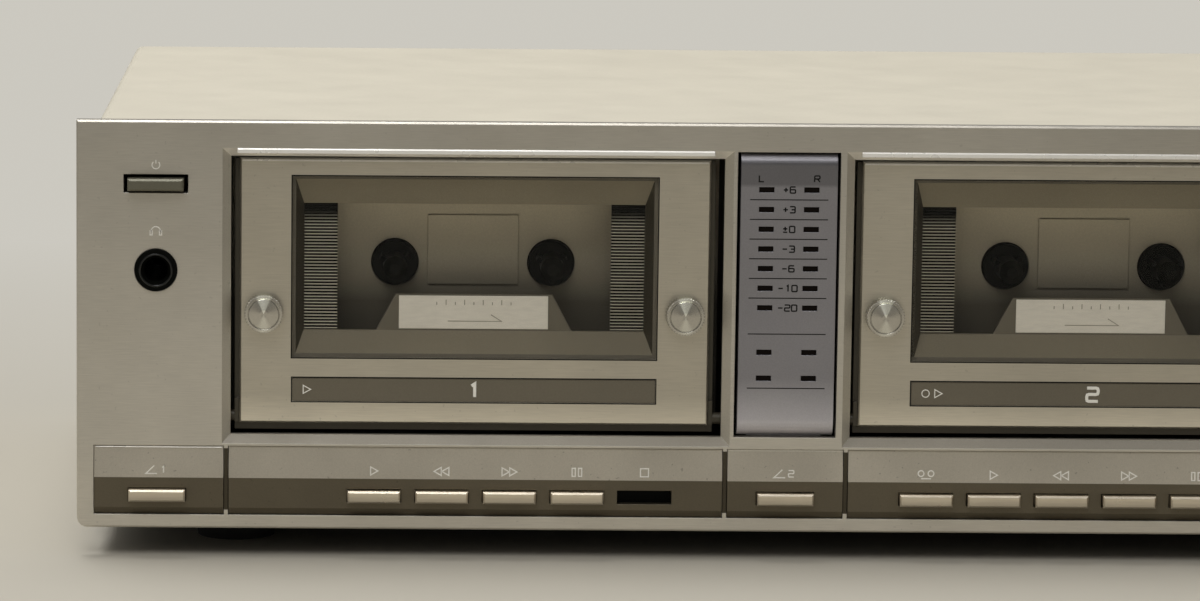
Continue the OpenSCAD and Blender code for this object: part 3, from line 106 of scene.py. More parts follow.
# Doors: x from the deck's axis, y back from the panel's front, z up from its lower edge
WINDOW_W = 97.9
WINDOW_Z = (45.9, 95.0)
LEGEND_W = 97.7
LEGEND_Z = (34.0, 40.5)
LEGEND_MID = sum(LEGEND_Z) / 2
LEGEND_DEEP = 0.3
LEGEND_T = 0.1
LEGEND_INSET = 0.12
LEGEND_BEVEL = 0.03
OUTLINE_OUT = 0.1
HOOD_Y = 11.15
LABEL_X = (-20.2, 20.0)
LABEL_Z = (53.0, 62.0)
LABEL_MID = sum(LABEL_Z) / 2
LABEL_T = 0.35
LABEL_BEVEL = 0.1
RIB_START = 36.8
RIB_Y = (11.8, 13.55)
RIB_CREST = (0.1, 0.3)
# Height and blur of the painted shadow above the ribs
RIB_SHADOW_TOP = 83.0
RIB_SHADOW_BLUR = 1.6
STRIP_END = 50.6
THUMB_D = 10.4

# Near-white bars in the heads of the openings and along the upper edges of door plates and left block,
# painted highlights
HEAD_H = 1.35
HEAD_FACET = 0.42
HEAD_PROUD = 0.22
HEAD_SIDE = 0.6
EDGE_H = 0.6
EDGE_PROUD = 0.33
EDGE_DROP = 0.35
BLOCK_EDGE_H = 0.45
BLOCK_EDGE_PROUD = 0.34

# Phones socket's rolled lip
JACK_MOUTH_R = 4.25
JACK_ROLL = 0.35
JACK_ROLL_STEPS = 12
JACK_SIDES = 48

# Phono sockets: sleeves, collars round them and insulators inside them
SOCKET_PITCH = 16.0
SLEEVE_R = 4.15
COLLAR_R = 6.2
COLLAR_T = 1.4
COLLAR_CHAMFER = 0.4
COLLAR_GAP = 0.05
PIN_R = 1.6
CORE_R = SLEEVE_R - 0.5
CORE_SUNK = 0.6
CORE_PROUD = 0.3
CORE_ROUND = 0.2

# Rear screws: the head's profile is given by insets from its radius with their lifts
SCREW_R = 2.9
SCREW_IN = 7.0
SCREW_T = 1.6
SCREW_PROFILE = ((0.0, -SUNK), (0.0, 0.9), (0.35, 1.35), (0.9, SCREW_T))
CROSS_HALF = 0.35
CROSS_ARM = 1.25
CROSS_FLOOR = 0.7
CROSS_TAPER = 0.8
TURNED_SIDES = 32

# Meter scale
SCALE_MARKS = ("-20", "-10", "-6", "-3", "±0", "+3", "+6")
SCALE_LOW = 60.9
SCALE_PITCH = 5.29
SCALE_TOP = SCALE_LOW + (len(SCALE_MARKS) - 1) * SCALE_PITCH
# The meter's darker head is a painted reflection: where it starts and its blur, the rim left light and its
# blur, and its shade
METER_HEAD_DROP = 1.6
METER_HEAD_BLUR = 0.5
METER_RIM = 3.2
METER_RIM_BLUR = 0.6
METER_REFLECTION_SHADE = 0.62
RULE_W = 20.8
RULE_Z = (53.85, 39.2)
CHANNEL_UP = 3.0
CHANNEL_IN = 0.585

# Level scale: ticks and numbers stand off from the ring's rim
LEVEL_COUNT = 11
LEVEL_SWEEP = radians(300)
LEVEL_TICK = (1.2, 2.6)
LEVEL_NUMBER_OFF = 4.6

# Signs, by their size and by how far they stand from what they belong to
KEY_SIGN_Z = 15.9
KEY_SIGN_H = 2.15
POWER_R = 1.05
POWER_STEM = (0.35, 1.35)
POWER_UP = 5.0
PHONES_R = 1.25
PHONES_CUP = (0.6, 1.1)
PHONES_CUP_DROP = 0.45
PHONES_UP = 10.4
DECK_SIGN_H = 2.2
DECK_SIGN_IN = 4.0
DECK_SIGN_STEP = 3.4
DECK_REEL_R = 1.0

# Heights of printed numbers
METER_DIGIT_H = 1.65
LEVEL_DIGIT_H = 1.9
DECK_DIGIT_H = 3.6

# Widths of printed lines
KEY_STROKE = 0.34
METER_STROKE = 0.37
RULE_STROKE = 0.27
OUTLINE_STROKE = 0.3
SIGN_STROKE = 0.3
DECK_STROKE = 0.85
LABEL_STROKE = 0.22
LEVEL_STROKE = 0.26
TICK_STROKE = 0.28

# Colours, linear
SILVER = (0.60, 0.566, 0.497)
BLOCK_SILVER = (0.595, 0.546, 0.456)
BLOCK_PAINTED_HIGHLIGHT = (0.85, 0.81, 0.72)
DOOR = (0.57, 0.527, 0.438)
CREAM = (0.70, 0.65, 0.53)
TAUPE = (0.15, 0.128, 0.09)
HOLDER = (0.182, 0.166, 0.132)
BEZEL_PAINTED_LIGHT = (0.40, 0.358, 0.272)
RIM = (0.06, 0.052, 0.036)
LEGEND = (0.153, 0.132, 0.092)
RIB = (0.58, 0.545, 0.47)
CHAMPAGNE = (0.64, 0.57, 0.46)
LILAC = (0.285, 0.277, 0.297)
LENS = (0.006, 0.004, 0.003)
WALL = (0.60, 0.546, 0.43)
BLACK = (0.0034, 0.0038, 0.0028)
CHASSIS = (0.03, 0.03, 0.03)
FOOT = (0.018, 0.018, 0.018)
BELT = (0.015, 0.015, 0.015)
STEEL = (0.52, 0.52, 0.51)
ALUMINIUM = (0.80, 0.78, 0.74)
BRASS = (0.6, 0.42, 0.16)
NICKEL = (0.62, 0.60, 0.56)
IRON = (0.08, 0.05, 0.03)
BOARD = (0.03, 0.10, 0.03)
LIP = (0.96, 0.94, 0.89)
EDGE = (0.90, 0.86, 0.78)
BUTTON = (0.165, 0.158, 0.118)
THUMB = (0.64, 0.61, 0.54)
KNOB = (0.80, 0.76, 0.68)
PAPER = (0.97, 0.94, 0.87)
PRINT = (0.97, 0.94, 0.86)
DARK_PRINT = (0.007, 0.007, 0.006)
FAINT_PRINT = (0.42, 0.385, 0.31)
RED = (0.36, 0.02, 0.015)
WHITE = (0.70, 0.69, 0.66)
FLOOR_TONES = ((0.54, 0.507, 0.435), (0.51, 0.478, 0.405))
BACKDROP = (0.60, 0.58, 0.525)
SKY = (0.98, 0.97, 0.94)


# Shader nodes

EVEN = (1, 1, 1)
NOISE_ROUGHNESS = 0.55
MIX_FACTOR, MIX_A, MIX_B, MIX_RESULT = 0, 6, 7, 2


def add(tree, kind, props=None, **inputs):
    """Adds a shader node; an input is a value or the socket that feeds it."""
    made = tree.nodes.new("ShaderNode" + kind)
    for key, value in (props or {}).items():
        setattr(made, key, value)
    for key, value in inputs.items():
        feed(tree, made.inputs[key.replace("_", " ")], value)
    return made


def feed(tree, socket, value):
    """Sets a socket or links it."""
    if isinstance(value, bpy.types.NodeSocket):
        tree.links.new(value, socket)
    else:
        socket.default_value = value


def maths(tree, operation, a, b=0.0):
    """A math node's output."""
    made = tree.nodes.new("ShaderNodeMath")
    made.operation = operation
    feed(tree, made.inputs[0], a)
    feed(tree, made.inputs[1], b)
    return made.outputs[0]


def remap(tree, value, low, high, to_low, to_high):
    """Maps a value from one range to another, clamped."""
    made = add(tree, "MapRange", Value=value, From_Min=low, From_Max=high, To_Min=to_low, To_Max=to_high)
    return made.outputs[0]


def place_of(tree, scale=EVEN):
    """Object coordinates in metres, stretched by scale."""
    coord = add(tree, "TexCoord").outputs["Object"]
    return add(tree, "Mapping", Vector=coord, Scale=scale).outputs[0]


def along(tree, axis):
    """The object coordinate along one axis, in metres."""
    return add(tree, "SeparateXYZ", Vector=place_of(tree)).outputs[axis]


def height_of(tree):
    """Height above the panel's lower edge, in mm."""
    return maths(tree, "DIVIDE", maths(tree, "SUBTRACT", along(tree, "Z"), PANEL_LOW.z), MM)


def above(tree, level, blur=0.02):
    """1 above a height in mm, 0 below."""
    return remap(tree, height_of(tree), level - blur, level + blur, 0.0, 1.0)


def noise(tree, scale, detail, stretch=EVEN):
    """A noise texture's factor, its scale in cycles per metre."""
    place = place_of(tree, stretch)
    made = add(tree, "TexNoise", Vector=place, Scale=scale, Detail=detail, Roughness=NOISE_ROUGHNESS)
    return made.outputs["Fac"]


def mixed(tree, factor, a, b, blend="MIX"):
    """A colour between a and b."""
    made = add(tree, "Mix", {"data_type": "RGBA", "blend_type": blend})
    feed(tree, made.inputs[MIX_FACTOR], factor)
    feed(tree, made.inputs[MIX_A], a)
    feed(tree, made.inputs[MIX_B], b)
    return made.outputs[MIX_RESULT]


def join_shaders(tree, factor, first, second):
    """Shows a mix of two shaders on the surface."""
    both = add(tree, "MixShader")
    tree.links.new(factor, both.inputs[0])
    tree.links.new(first, both.inputs[1])
    tree.links.new(second, both.inputs[2])
    tree.links.new(both.outputs[0], tree.nodes["Material Output"].inputs["Surface"])


def rgb(colour):
    """A colour with full alpha."""
    return (*colour, 1.0)


def shade(colour, factor):
    """A colour made lighter or darker."""
    return tuple(min(1.0, c * factor) for c in colour)


# Satin, painted and moulded finishes

CLOUDS, PATCHES, SPECKS, SMEARS = 28, 420, 900, 60
NOISE_SPAN = (0.3, 0.7)
FINE_SHARE = 0.8
EDGE_SPAN = (0.9, 0.995)
EDGE_SAMPLES = 6
PATCH_SPAN = (0.42, 0.6)
PATCH_LEVELS = (0.25, 1.0)
SPECK_SPAN = (0.735, 0.76)
WORN_SHADE = 1.9
SPECK_SHADE = 0.45
SMOOTHER, ROUGHER, SMOOTHEST = 0.05, 0.06, 0.02
GRAIN_DEPTH = 0.04 * MM


def edge_mask(tree, radius):
    """1 along sharp edges within radius, 0 elsewhere, and the rounded normal."""
    rounded = add(tree, "Bevel", {"samples": EDGE_SAMPLES}, Radius=radius).outputs[0]
    same = add(tree, "VectorMath", {"operation": "DOT_PRODUCT"})
    tree.links.new(rounded, same.inputs[0])
    tree.links.new(add(tree, "NewGeometry").outputs["Normal"], same.inputs[1])
    return remap(tree, same.outputs["Value"], *EDGE_SPAN, 1.0, 0.0), rounded


def finish(
    name, colour, roughness, metallic=0.0, mottle=0.06, grain=2200, bump=0.12, streak=EVEN, wear=0.15,
    edge=0.25, coat=0.0, coat_roughness=0.1, speck=0.0, tint=None, specular=0.5, painted_light_fade=None,
):
    """A material with mottled colour, fine grain, worn edges and small specks. tint(tree, colour) may
    turn the colour into one that changes over the piece, and painted_light_fade gives two heights in mm
    with the colour's strength at each, a painted gradient of light and shade."""
    made = bpy.data.materials.new(name)
    made.use_nodes = True
    tree = made.node_tree
    shader = tree.nodes["Principled BSDF"]
    base = rgb(colour) if tint is None else tint(tree, colour)
    fine = noise(tree, grain, 2, streak)
    fine_mottle = mottle * FINE_SHARE
    fine_level = remap(tree, fine, *NOISE_SPAN, 1 - fine_mottle, 1 + fine_mottle)
    broad_level = remap(tree, noise(tree, CLOUDS, 5), *NOISE_SPAN, 1 - mottle, 1 + mottle)
    level = maths(tree, "MULTIPLY", broad_level, fine_level)
    # Painted light and shade: the colour grows lighter or darker with height
    if painted_light_fade:
        level = maths(tree, "MULTIPLY", level, remap(tree, height_of(tree), *painted_light_fade))
    grey = add(tree, "CombineColor")
    for socket in grey.inputs[:3]:
        tree.links.new(level, socket)
    colour_now = mixed(tree, 1.0, base, grey.outputs[0], "MULTIPLY")

    edges, rounded = edge_mask(tree, edge * MM)
    patches = remap(tree, noise(tree, PATCHES, 4), *PATCH_SPAN, *PATCH_LEVELS)
    worn = maths(tree, "MULTIPLY", maths(tree, "MULTIPLY", edges, patches), wear)
    colour_now = mixed(tree, worn, colour_now, rgb(shade(colour, WORN_SHADE)))
    if speck:
        dots = remap(tree, noise(tree, SPECKS, 1), *SPECK_SPAN, 0.0, speck)
        colour_now = mixed(tree, dots, colour_now, rgb(shade(colour, SPECK_SHADE)))
    tree.links.new(colour_now, shader.inputs["Base Color"])

    smooth, rough = max(SMOOTHEST, roughness - SMOOTHER), roughness + ROUGHER
    smears = remap(tree, noise(tree, SMEARS, 4), *NOISE_SPAN, smooth, rough)
    tree.links.new(smears, shader.inputs["Roughness"])
    lumps = add(tree, "Bump", Height=fine, Normal=rounded, Strength=bump, Distance=GRAIN_DEPTH)
    tree.links.new(lumps.outputs[0], shader.inputs["Normal"])
    shader.inputs["Metallic"].default_value = metallic
    shader.inputs["Coat Weight"].default_value = coat
    shader.inputs["Coat Roughness"].default_value = coat_roughness
    shader.inputs["Specular IOR Level"].default_value = specular
    return made


# Tints: colours that change over a piece

def two_tone(tree, colour):
    """Silver above the taupe band of a key block."""
    return mixed(tree, above(tree, SLANT_LOW), rgb(colour), rgb(BLOCK_SILVER))


def two_tone_bright(tree, colour):
    """The same with a lighter top edge, a painted highlight."""
    top = above(tree, BLOCK_TOP - PAINTED_HIGHLIGHT_DEPTH, PAINTED_HIGHLIGHT_BLUR)
    return mixed(tree, top, two_tone(tree, colour), rgb(BLOCK_PAINTED_HIGHLIGHT))


def grooved(tree, colour):
    """Panel silver, with painted shade in the grooves between the key blocks."""
    foot = above(tree, BLOCKS_LOW.z + GROOVE_FOOT)
    head = above(tree, BLOCK_TOP - GROOVE_HEAD)
    across = along(tree, "X")
    past_left = maths(tree, "GREATER_THAN", across, at(*BLOCKS_LOW).x)
    before_right = maths(tree, "LESS_THAN", across, at(*BLOCKS_HIGH).x)
    inside = maths(tree, "MULTIPLY", past_left, before_right)
    groove = maths(tree, "MULTIPLY", maths(tree, "SUBTRACT", foot, head), inside)
    return mixed(tree, groove, rgb(colour), rgb(shade(TAUPE, GROOVE_PAINTED_SHADE)))


def meter_tone(tree, colour):
    """Lilac grey with a darker head above the first row of lamps, below a rim left light: a painted
    reflection.
    """
    head = above(tree, SCALE_TOP + SCALE_PITCH / 2 - METER_HEAD_DROP, METER_HEAD_BLUR)
    rim = above(tree, METER_HIGH.z - METER_RIM, METER_RIM_BLUR)
    dark = maths(tree, "MULTIPLY", head, maths(tree, "SUBTRACT", 1.0, rim))
    return mixed(tree, dark, rgb(colour), rgb(shade(colour, METER_REFLECTION_SHADE)))


def rib_tone(tree, colour):
    """Bright on the ribs' crests, partly a painted highlight; black in the grooves between them as painted
    shade, and above the ribs as a painted shadow.
    """
    crest, groove = (PANEL_LOW.y + (RIB_Y[0] + depth) * MM for depth in RIB_CREST)
    deep = remap(tree, along(tree, "Y"), crest, groove, 0.0, 1.0)
    plain = above(tree, RIB_SHADOW_TOP, RIB_SHADOW_BLUR)
    return mixed(tree, maths(tree, "MAXIMUM", deep, plain), rgb(colour), rgb(BLACK))


# Turned metal

TURNED_ROUGHNESS = 0.24
TURNED_SHEEN = 0.85
# Painted highlight and shade on thumbscrew faces: angle spans of the light wedges and the two shades
UPPER_HIGHLIGHT_WEDGE = (0.34, 0.50, 1.0, 0.0)
LOWER_HIGHLIGHT_WEDGE = (2.55, 2.95, 0.0, 0.35)
WEDGE_PAINTED_SHADES = (0.80, 1.65)


def from_axis(tree, spots):
    """Distances right and up from the turning axis along y; of two axes, the one on the same side."""
    across = maths(tree, "SUBTRACT", along(tree, "X"), sum(spot.x for spot in spots) / len(spots))
    if len(spots) > 1:
        half = abs(spots[1].x - spots[0].x) / 2
        side = maths(tree, "SIGN", across)
        across = maths(tree, "SUBTRACT", across, maths(tree, "MULTIPLY", side, half))
    return across, maths(tree, "SUBTRACT", along(tree, "Z"), spots[0].z)


def turned_metal(name, colour, spots, painted_wedges=False):
    """Metal turned about axes along y through the given points, with the sheen that turning leaves:
    highlights that run outwards. With painted_wedges, lighter wedges above and below the middle and
    darker sides are a painted highlight and painted shade."""
    def wedges(tree, colour):
        across, up = from_axis(tree, spots)
        angle = maths(tree, "ABSOLUTE", maths(tree, "ARCTAN2", across, up))
        light = maths(tree, "MAXIMUM", remap(tree, angle, *UPPER_HIGHLIGHT_WEDGE), remap(tree, angle, *LOWER_HIGHLIGHT_WEDGE))
        dull, bright = (rgb(shade(colour, factor)) for factor in WEDGE_PAINTED_SHADES)
        return mixed(tree, light, dull, bright)

    tint = wedges if painted_wedges else None
    made = finish(name, colour, TURNED_ROUGHNESS, metallic=1.0, mottle=0.04, bump=0.05, wear=0.0, tint=tint)
    tree = made.node_tree
    shader = tree.nodes["Principled BSDF"]
    across, up = from_axis(tree, spots)
    outward = add(tree, "CombineXYZ", X=across, Y=0.0, Z=up)
    tree.links.new(outward.outputs[0], shader.inputs["Tangent"])
    shader.inputs["Anisotropic"].default_value = TURNED_SHEEN
    return made


def thumb_spots(deck):
    """Points on the axes of a door's two thumbscrews."""
    low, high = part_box(f"thumbscrews_{deck}")
    reach = THUMB_D / 2 * MM
    height = (low.z + high.z) / 2
    return [Vector((low.x + reach, low.y, height)), Vector((high.x - reach, low.y, height))]


def knob_spot(node):
    """The point on a knob's axis."""
    low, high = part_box(node)
    return [Vector(((low.x + high.x) / 2, low.y, (low.z + high.z) / 2))]


# Window panes

PANE_TINT = (0.97, 0.963, 0.945)
PANE_IOR = 1.17
SMUDGES = 55
SMUDGE_STRETCH = (1, 1, 2.5)
SMUDGE_RANGE = (0.35, 0.75, 0.02, 0.10)


def clear_pane(name):
    """A clear, lightly smoked acrylic pane that lets lamps through."""
    made = bpy.data.materials.new(name)
    made.use_nodes = True
    tree = made.node_tree
    tree.nodes.remove(tree.nodes["Principled BSDF"])
    smudge = remap(tree, noise(tree, SMUDGES, 6, SMUDGE_STRETCH), *SMUDGE_RANGE)
    seen_through = add(tree, "BsdfTransparent", Color=rgb(PANE_TINT))
    gloss = add(tree, "BsdfGlossy", Color=(1, 1, 1, 1), Roughness=smudge)
    fresnel = add(tree, "Fresnel", IOR=PANE_IOR)
    join_shaders(tree, fresnel.outputs[0], seen_through.outputs[0], gloss.outputs[0])
    return made


# Finishes by name: first the slots of the record, then the ones used on single faces and pieces

BRUSHED = (0.05, 1, 1)
DRAWN = (0.1, 1, 1)
FIBROUS = (0.2, 1, 1)
MOULDED = dict(metallic=0.15, bump=0.14, specular=0.35)
BLOCK = dict(colour=TAUPE, roughness=0.43, metallic=0.8, grain=2600, speck=0.3)
LOOKS = {
    # Panel: lighter towards its lower edge and darker towards its top, a painted gradient of light; the
    # grooves between the key blocks get painted shade
    "panel_silver": dict(
        colour=SILVER, roughness=0.40, metallic=0.9, grain=3200, streak=BRUSHED, bump=0.10, speck=0.2,
        tint=grooved, painted_light_fade=(10, 110, 1.12, 0.92),
    ),
    # Door plate: a lighter band along its lower edge, a painted highlight
    "door_silver": dict(
        colour=DOOR, roughness=0.34, metallic=0.9, grain=2600, streak=BRUSHED, speck=0.2,
        painted_light_fade=(29, 36, 1.4, 1.0),
    ),
    "cover_cream": dict(colour=CREAM, roughness=0.5, grain=1400, bump=0.16, mottle=0.025, speck=0.08),
    "chassis_dark": dict(colour=CHASSIS, roughness=0.55, grain=1500, bump=0.2),
    "foot_rubber": dict(colour=FOOT, roughness=0.75, grain=1600, bump=0.3),
    "screw_steel": dict(colour=STEEL, roughness=0.32, metallic=1.0),
    "block_taupe": dict(**BLOCK, tint=two_tone),
    # Keys: darker towards the bottom and lighter towards the top, a painted gradient of light
    "key_bright": dict(
        colour=CHAMPAGNE, roughness=0.3, metallic=1.0, grain=2400, streak=BRUSHED, bump=0.06, wear=0.0,
        painted_light_fade=(*KEY_Z, 0.58, 1.45),
    ),
    # Meter plate: lighter towards its lower edge, a painted reflection, besides its painted darker head
    "meter_lilac": dict(
        colour=LILAC, roughness=0.36, metallic=0.8, grain=2800, coat=0.3, coat_roughness=0.15,
        tint=meter_tone, painted_light_fade=(27, 42, 2.25, 1.06),
    ),
    "lens_dark": dict(colour=LENS, roughness=0.35, wear=0.0, specular=0.06),
    "black_gloss": dict(colour=BLACK, roughness=0.10, specular=0.12, wear=0.05),
    "black_matt": dict(colour=shade(BLACK, 0.7), roughness=0.4, bump=0.2, specular=0.06, wear=0.03),
    "holder_taupe": dict(colour=HOLDER, roughness=0.45, **MOULDED),
    "aluminium": dict(colour=ALUMINIUM, roughness=0.3, metallic=1.0, mottle=0.04, bump=0.06),
    # Back wall: darker towards the bottom and lighter towards the top, painted shade and light
    "wall_grey": dict(
        colour=WALL, roughness=0.45, metallic=0.2, grain=1800, specular=0.3, painted_light_fade=(58, 88, 0.2, 1.45),
    ),
    "steel": dict(colour=STEEL, roughness=0.3, metallic=1.0, streak=DRAWN),
    "brass": dict(colour=BRASS, roughness=0.3, metallic=1.0),
    "board_green": dict(colour=BOARD, roughness=0.4, coat=0.3),
    "core_iron": dict(colour=IRON, roughness=0.5, metallic=0.3),
    "belt_rubber": dict(colour=BELT, roughness=0.7, bump=0.2),

    # End blocks: a painted highlight along their top edge
    "end_block": dict(**BLOCK, tint=two_tone_bright),
    "gloss_black_lip": dict(
        colour=BLACK, roughness=0.10, wear=0.0, bump=0.02, specular=0.3, coat=0.3, coat_roughness=0.12,
    ),
    # Near-white bars, painted highlights on edges
    "painted_highlight_lip": dict(colour=LIP, roughness=0.28, metallic=0.3, mottle=0.02, bump=0.02, wear=0.0),
    # A lighter finish for the heads of the openings and the door plates' upper edges, a painted highlight
    "painted_highlight_edge": dict(
        colour=EDGE, roughness=0.3, metallic=0.5, mottle=0.03, bump=0.03, wear=0.0, edge=0.1,
    ),
    # Slopes below the doors: half as light as the block silver, painted shade
    "sill_painted_shade": dict(
        colour=shade(BLOCK_SILVER, 0.5), roughness=0.45, metallic=0.6, grain=3200, bump=0.10, wear=0.05,
    ),
    # Power button: its lighter edges are partly wear and partly a painted highlight
    "button_metal": dict(colour=BUTTON, roughness=0.34, metallic=0.5, bump=0.06, wear=0.4),
    # Holder bezel and rim: lit and shaded copies of the holder's taupe, painted light and shade
    "bezel_painted_light": dict(colour=BEZEL_PAINTED_LIGHT, roughness=0.42, **MOULDED),
    "bezel_sill_painted_shade": dict(colour=shade(BEZEL_PAINTED_LIGHT, 0.68), roughness=0.42, **MOULDED),
    "rim_painted_shade": dict(colour=RIM, roughness=0.4, **MOULDED),
    # Ribs: bright crests partly a painted highlight, black grooves and top painted shade
    "ribs_painted_light": dict(colour=RIB, roughness=0.34, metallic=0.8, tint=rib_tone, wear=0.0),
    "legend_taupe": dict(colour=LEGEND, roughness=0.42, metallic=0.15, coat=0.3, coat_roughness=0.12),
    "label_paper": dict(colour=PAPER, roughness=0.40, mottle=0.05, grain=1200, streak=FIBROUS, wear=0.0),
    "pale_ink": dict(colour=PRINT, roughness=0.5, mottle=0.05, wear=0.0),
    "dark_ink": dict(colour=DARK_PRINT, roughness=0.5, wear=0.0, specular=0.2),
    "faint_ink": dict(colour=FAINT_PRINT, roughness=0.5, wear=0.0),
    "nickel": dict(colour=NICKEL, roughness=0.25, metallic=1.0),
    "red_plastic": dict(colour=RED, roughness=0.4),
    "white_plastic": dict(colour=WHITE, roughness=0.4),
}
FINISH = {name: finish(name, **look) for name, look in LOOKS.items()}
FINISH["window_clear"] = clear_pane("window_clear")
for deck in DECKS:
    thumb_name = f"turned_thumb_{deck}"
    FINISH[thumb_name] = turned_metal(thumb_name, THUMB, thumb_spots(deck), painted_wedges=True)
for knob in KNOBS:
    FINISH["turned_" + knob] = turned_metal("turned_" + knob, KNOB, knob_spot(knob))


# CAD nodes

LEANING = 0.3
SIDEWAYS = 0.5
NEAR = 0.05
CLOSE = 0.01
PLATE_EDGE_UP = 1.0
# Slot of the lighter finish that paints a highlight on edges
HIGHLIGHT_FACE = 1


def dress(node, *names):
    """Gives a CAD node its materials."""
    slots = frame["nodes"][node].data.materials
    slots.clear()
    for name in names:
        slots.append(FINISH[name])


def dress_faces(node, pick, *names):
    """Gives a CAD node several materials, of which pick(face) chooses one for each face."""
    dress(node, *names)
    for face in frame["nodes"][node].data.polygons:
        face.material_index = pick(face)


def holder_face(deck):
    """Picks ribs, rim, bezel head and bezel sill apart on a cassette holder: lit and shaded copies of its
    taupe, a lighter head facing down as painted light, a darker sill and a near-black rim as painted shade.
    """
    def pick(face):
        spot = on_panel(face.center)
        aside = abs(spot.x - AXIS[deck])
        on_strip = RIB_START - NEAR < aside < STRIP_END + NEAR
        ribbed = on_strip and RIB_Y[0] - NEAR < spot.y < RIB_Y[1] + CLOSE
        framing = aside < WINDOW_W / 2 and WINDOW_Z[0] < spot.z < WINDOW_Z[1]
        if ribbed and spot.z > LEGEND_Z[0]:
            return 1
        if not framing or abs(face.normal.x) > SIDEWAYS:
            return 2
        if face.normal.z < -LEANING:
            return 3
        return 4 if face.normal.z > LEANING else 0
    return pick


def plate_face(face):
    """Picks the upper edge of a door plate, given a lighter finish as a painted highlight."""
    over_window = face.center.z > at(0, 0, WINDOW_Z[1] + PLATE_EDGE_UP).z
    return HIGHLIGHT_FACE if face.normal.z > LEANING and over_window else 0


def panel_face(face):
    """Picks the sloped heads of the front panel's door openings, lighter as a painted highlight, and the
    slopes below the doors, darker as painted shade.
    """
    height = on_panel(face.center).z
    if face.normal.y >= -LEANING:
        return 0
    if face.normal.z < -LEANING and height > PLATE_MID.z:
        return HIGHLIGHT_FACE
    return 2 if face.normal.z > LEANING and height < PLATE_LOW.z else 0


def socket_face(face):
    """Picks what stands out of the rear panel, the sleeves."""
    return 1 if (face.center.y - PANEL_LOW.y) / MM > REAR_HIGH.y else 0


def dress_nodes():
    """Every CAD node takes the finish of its slot in the record; the ones named here take others."""
    for part in frame["record"]["subparts"]:
        dress(part["node"], part["material_slot"])
    for deck in DECKS:
        holder_names = ("holder_taupe", "ribs_painted_light", "rim_painted_shade", "bezel_painted_light", "bezel_sill_painted_shade")
        dress_faces(f"cassette_holder_{deck}", holder_face(deck), *holder_names)
        dress_faces(f"door_plate_{deck}", plate_face, "door_silver", "painted_highlight_edge")
        dress(f"thumbscrews_{deck}", f"turned_thumb_{deck}")
    dress_faces("front_panel", panel_face, "panel_silver", "painted_highlight_edge", "sill_painted_shade")
    dress_faces("phono_sockets", socket_face, "black_gloss", "nickel")
    dress("end_blocks", "end_block")
    dress("power_button", "button_metal")
    dress("phones_jack", "black_matt")
    for knob in KNOBS:
        dress(knob, "turned_" + knob)


# Pieces

def put(name, mesh, body, material):
    """Makes a mesh a piece that rides on a body, with its faces turned outwards."""
    shape = bmesh.new()
    shape.from_mesh(mesh)
    bmesh.ops.recalc_face_normals(shape, faces=shape.faces[:])
    shape.to_mesh(mesh)
    shape.free()
    mesh.materials.append(FINISH[material])
    piece = bpy.data.objects.new(name, mesh)
    bpy.context.scene.collection.objects.link(piece)
    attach(piece, body)


def put_faces(name, verts, faces, body, material, slot):
    """Makes a piece from points and faces."""
    mesh = bpy.data.meshes.new(name)
    mesh.from_pydata(verts, [], faces)
    put(name, mesh, body, material)


def put_shape(name, shape, body, material):
    """Makes a piece from a bmesh, which is used up."""
    mesh = bpy.data.meshes.new(name)
    shape.to_mesh(mesh)
    shape.free()
    put(name, mesh, body, material)


def slab(name, low, high, bevel, body, material):
    """A thin plate between two panel-coordinate corners with softened edges."""
    shape = bmesh.new()
    bmesh.ops.create_cube(shape, size=1.0)
    a, b = at(*low), at(*high)
    for vertex in shape.verts:
        vertex.co = Vector((a[i] if vertex.co[i] < 0 else b[i] for i in range(3)))
    edges = shape.edges[:]
    bmesh.ops.bevel(shape, geom=edges, offset=bevel * MM, segments=2, affect="EDGES", profile=0.6)
    put_shape(name, shape, body, material)


def bar(name, span, profile, d, v, body):
    """A near-white bar along x, a painted highlight, with the given profile of depth and height, placed at
    d and v.
    """
    count = len(profile)
    verts = [at(u, d + y, v + z) for u in span for y, z in profile]
    faces = [(i, (i + 1) % count, count + (i + 1) % count, count + i) for i in range(count)]
    faces += [tuple(range(count)), tuple(range(2 * count - 1, count - 1, -1))]
    put_faces(name, verts, faces, body, "painted_highlight_lip", "key_bright")


def turned(name, profile, u, v, material, sides=TURNED_SIDES):
    """A ring turned about an axis along y from a closed profile of radius and depth."""
    verts, faces, size = [], [], len(profile)
    for k in range(sides):
        angle = 2 * pi * k / sides
        verts += [at(u + r * cos(angle), d, v + r * sin(angle)) for r, d in profile]
        a, b = k * size, (k + 1) % sides * size
        faces += [(a + i, a + (i + 1) % size, b + (i + 1) % size, b + i) for i in range(size)]
    put_faces(name, verts, faces, "cabinet", material, "black_gloss")


def around(items):
    """Each item with the next one, round to the first."""
    return zip(items, items[1:] + items[:1])


def cross_outline():
    """Corners of a screw's crossed recess."""
    arm = [(CROSS_HALF, CROSS_HALF), (CROSS_HALF, CROSS_ARM), (-CROSS_HALF, CROSS_ARM)]
    corners = []
    for _ in range(4):
        corners += arm
        arm = [(-y, x) for x, y in arm]
    return corners


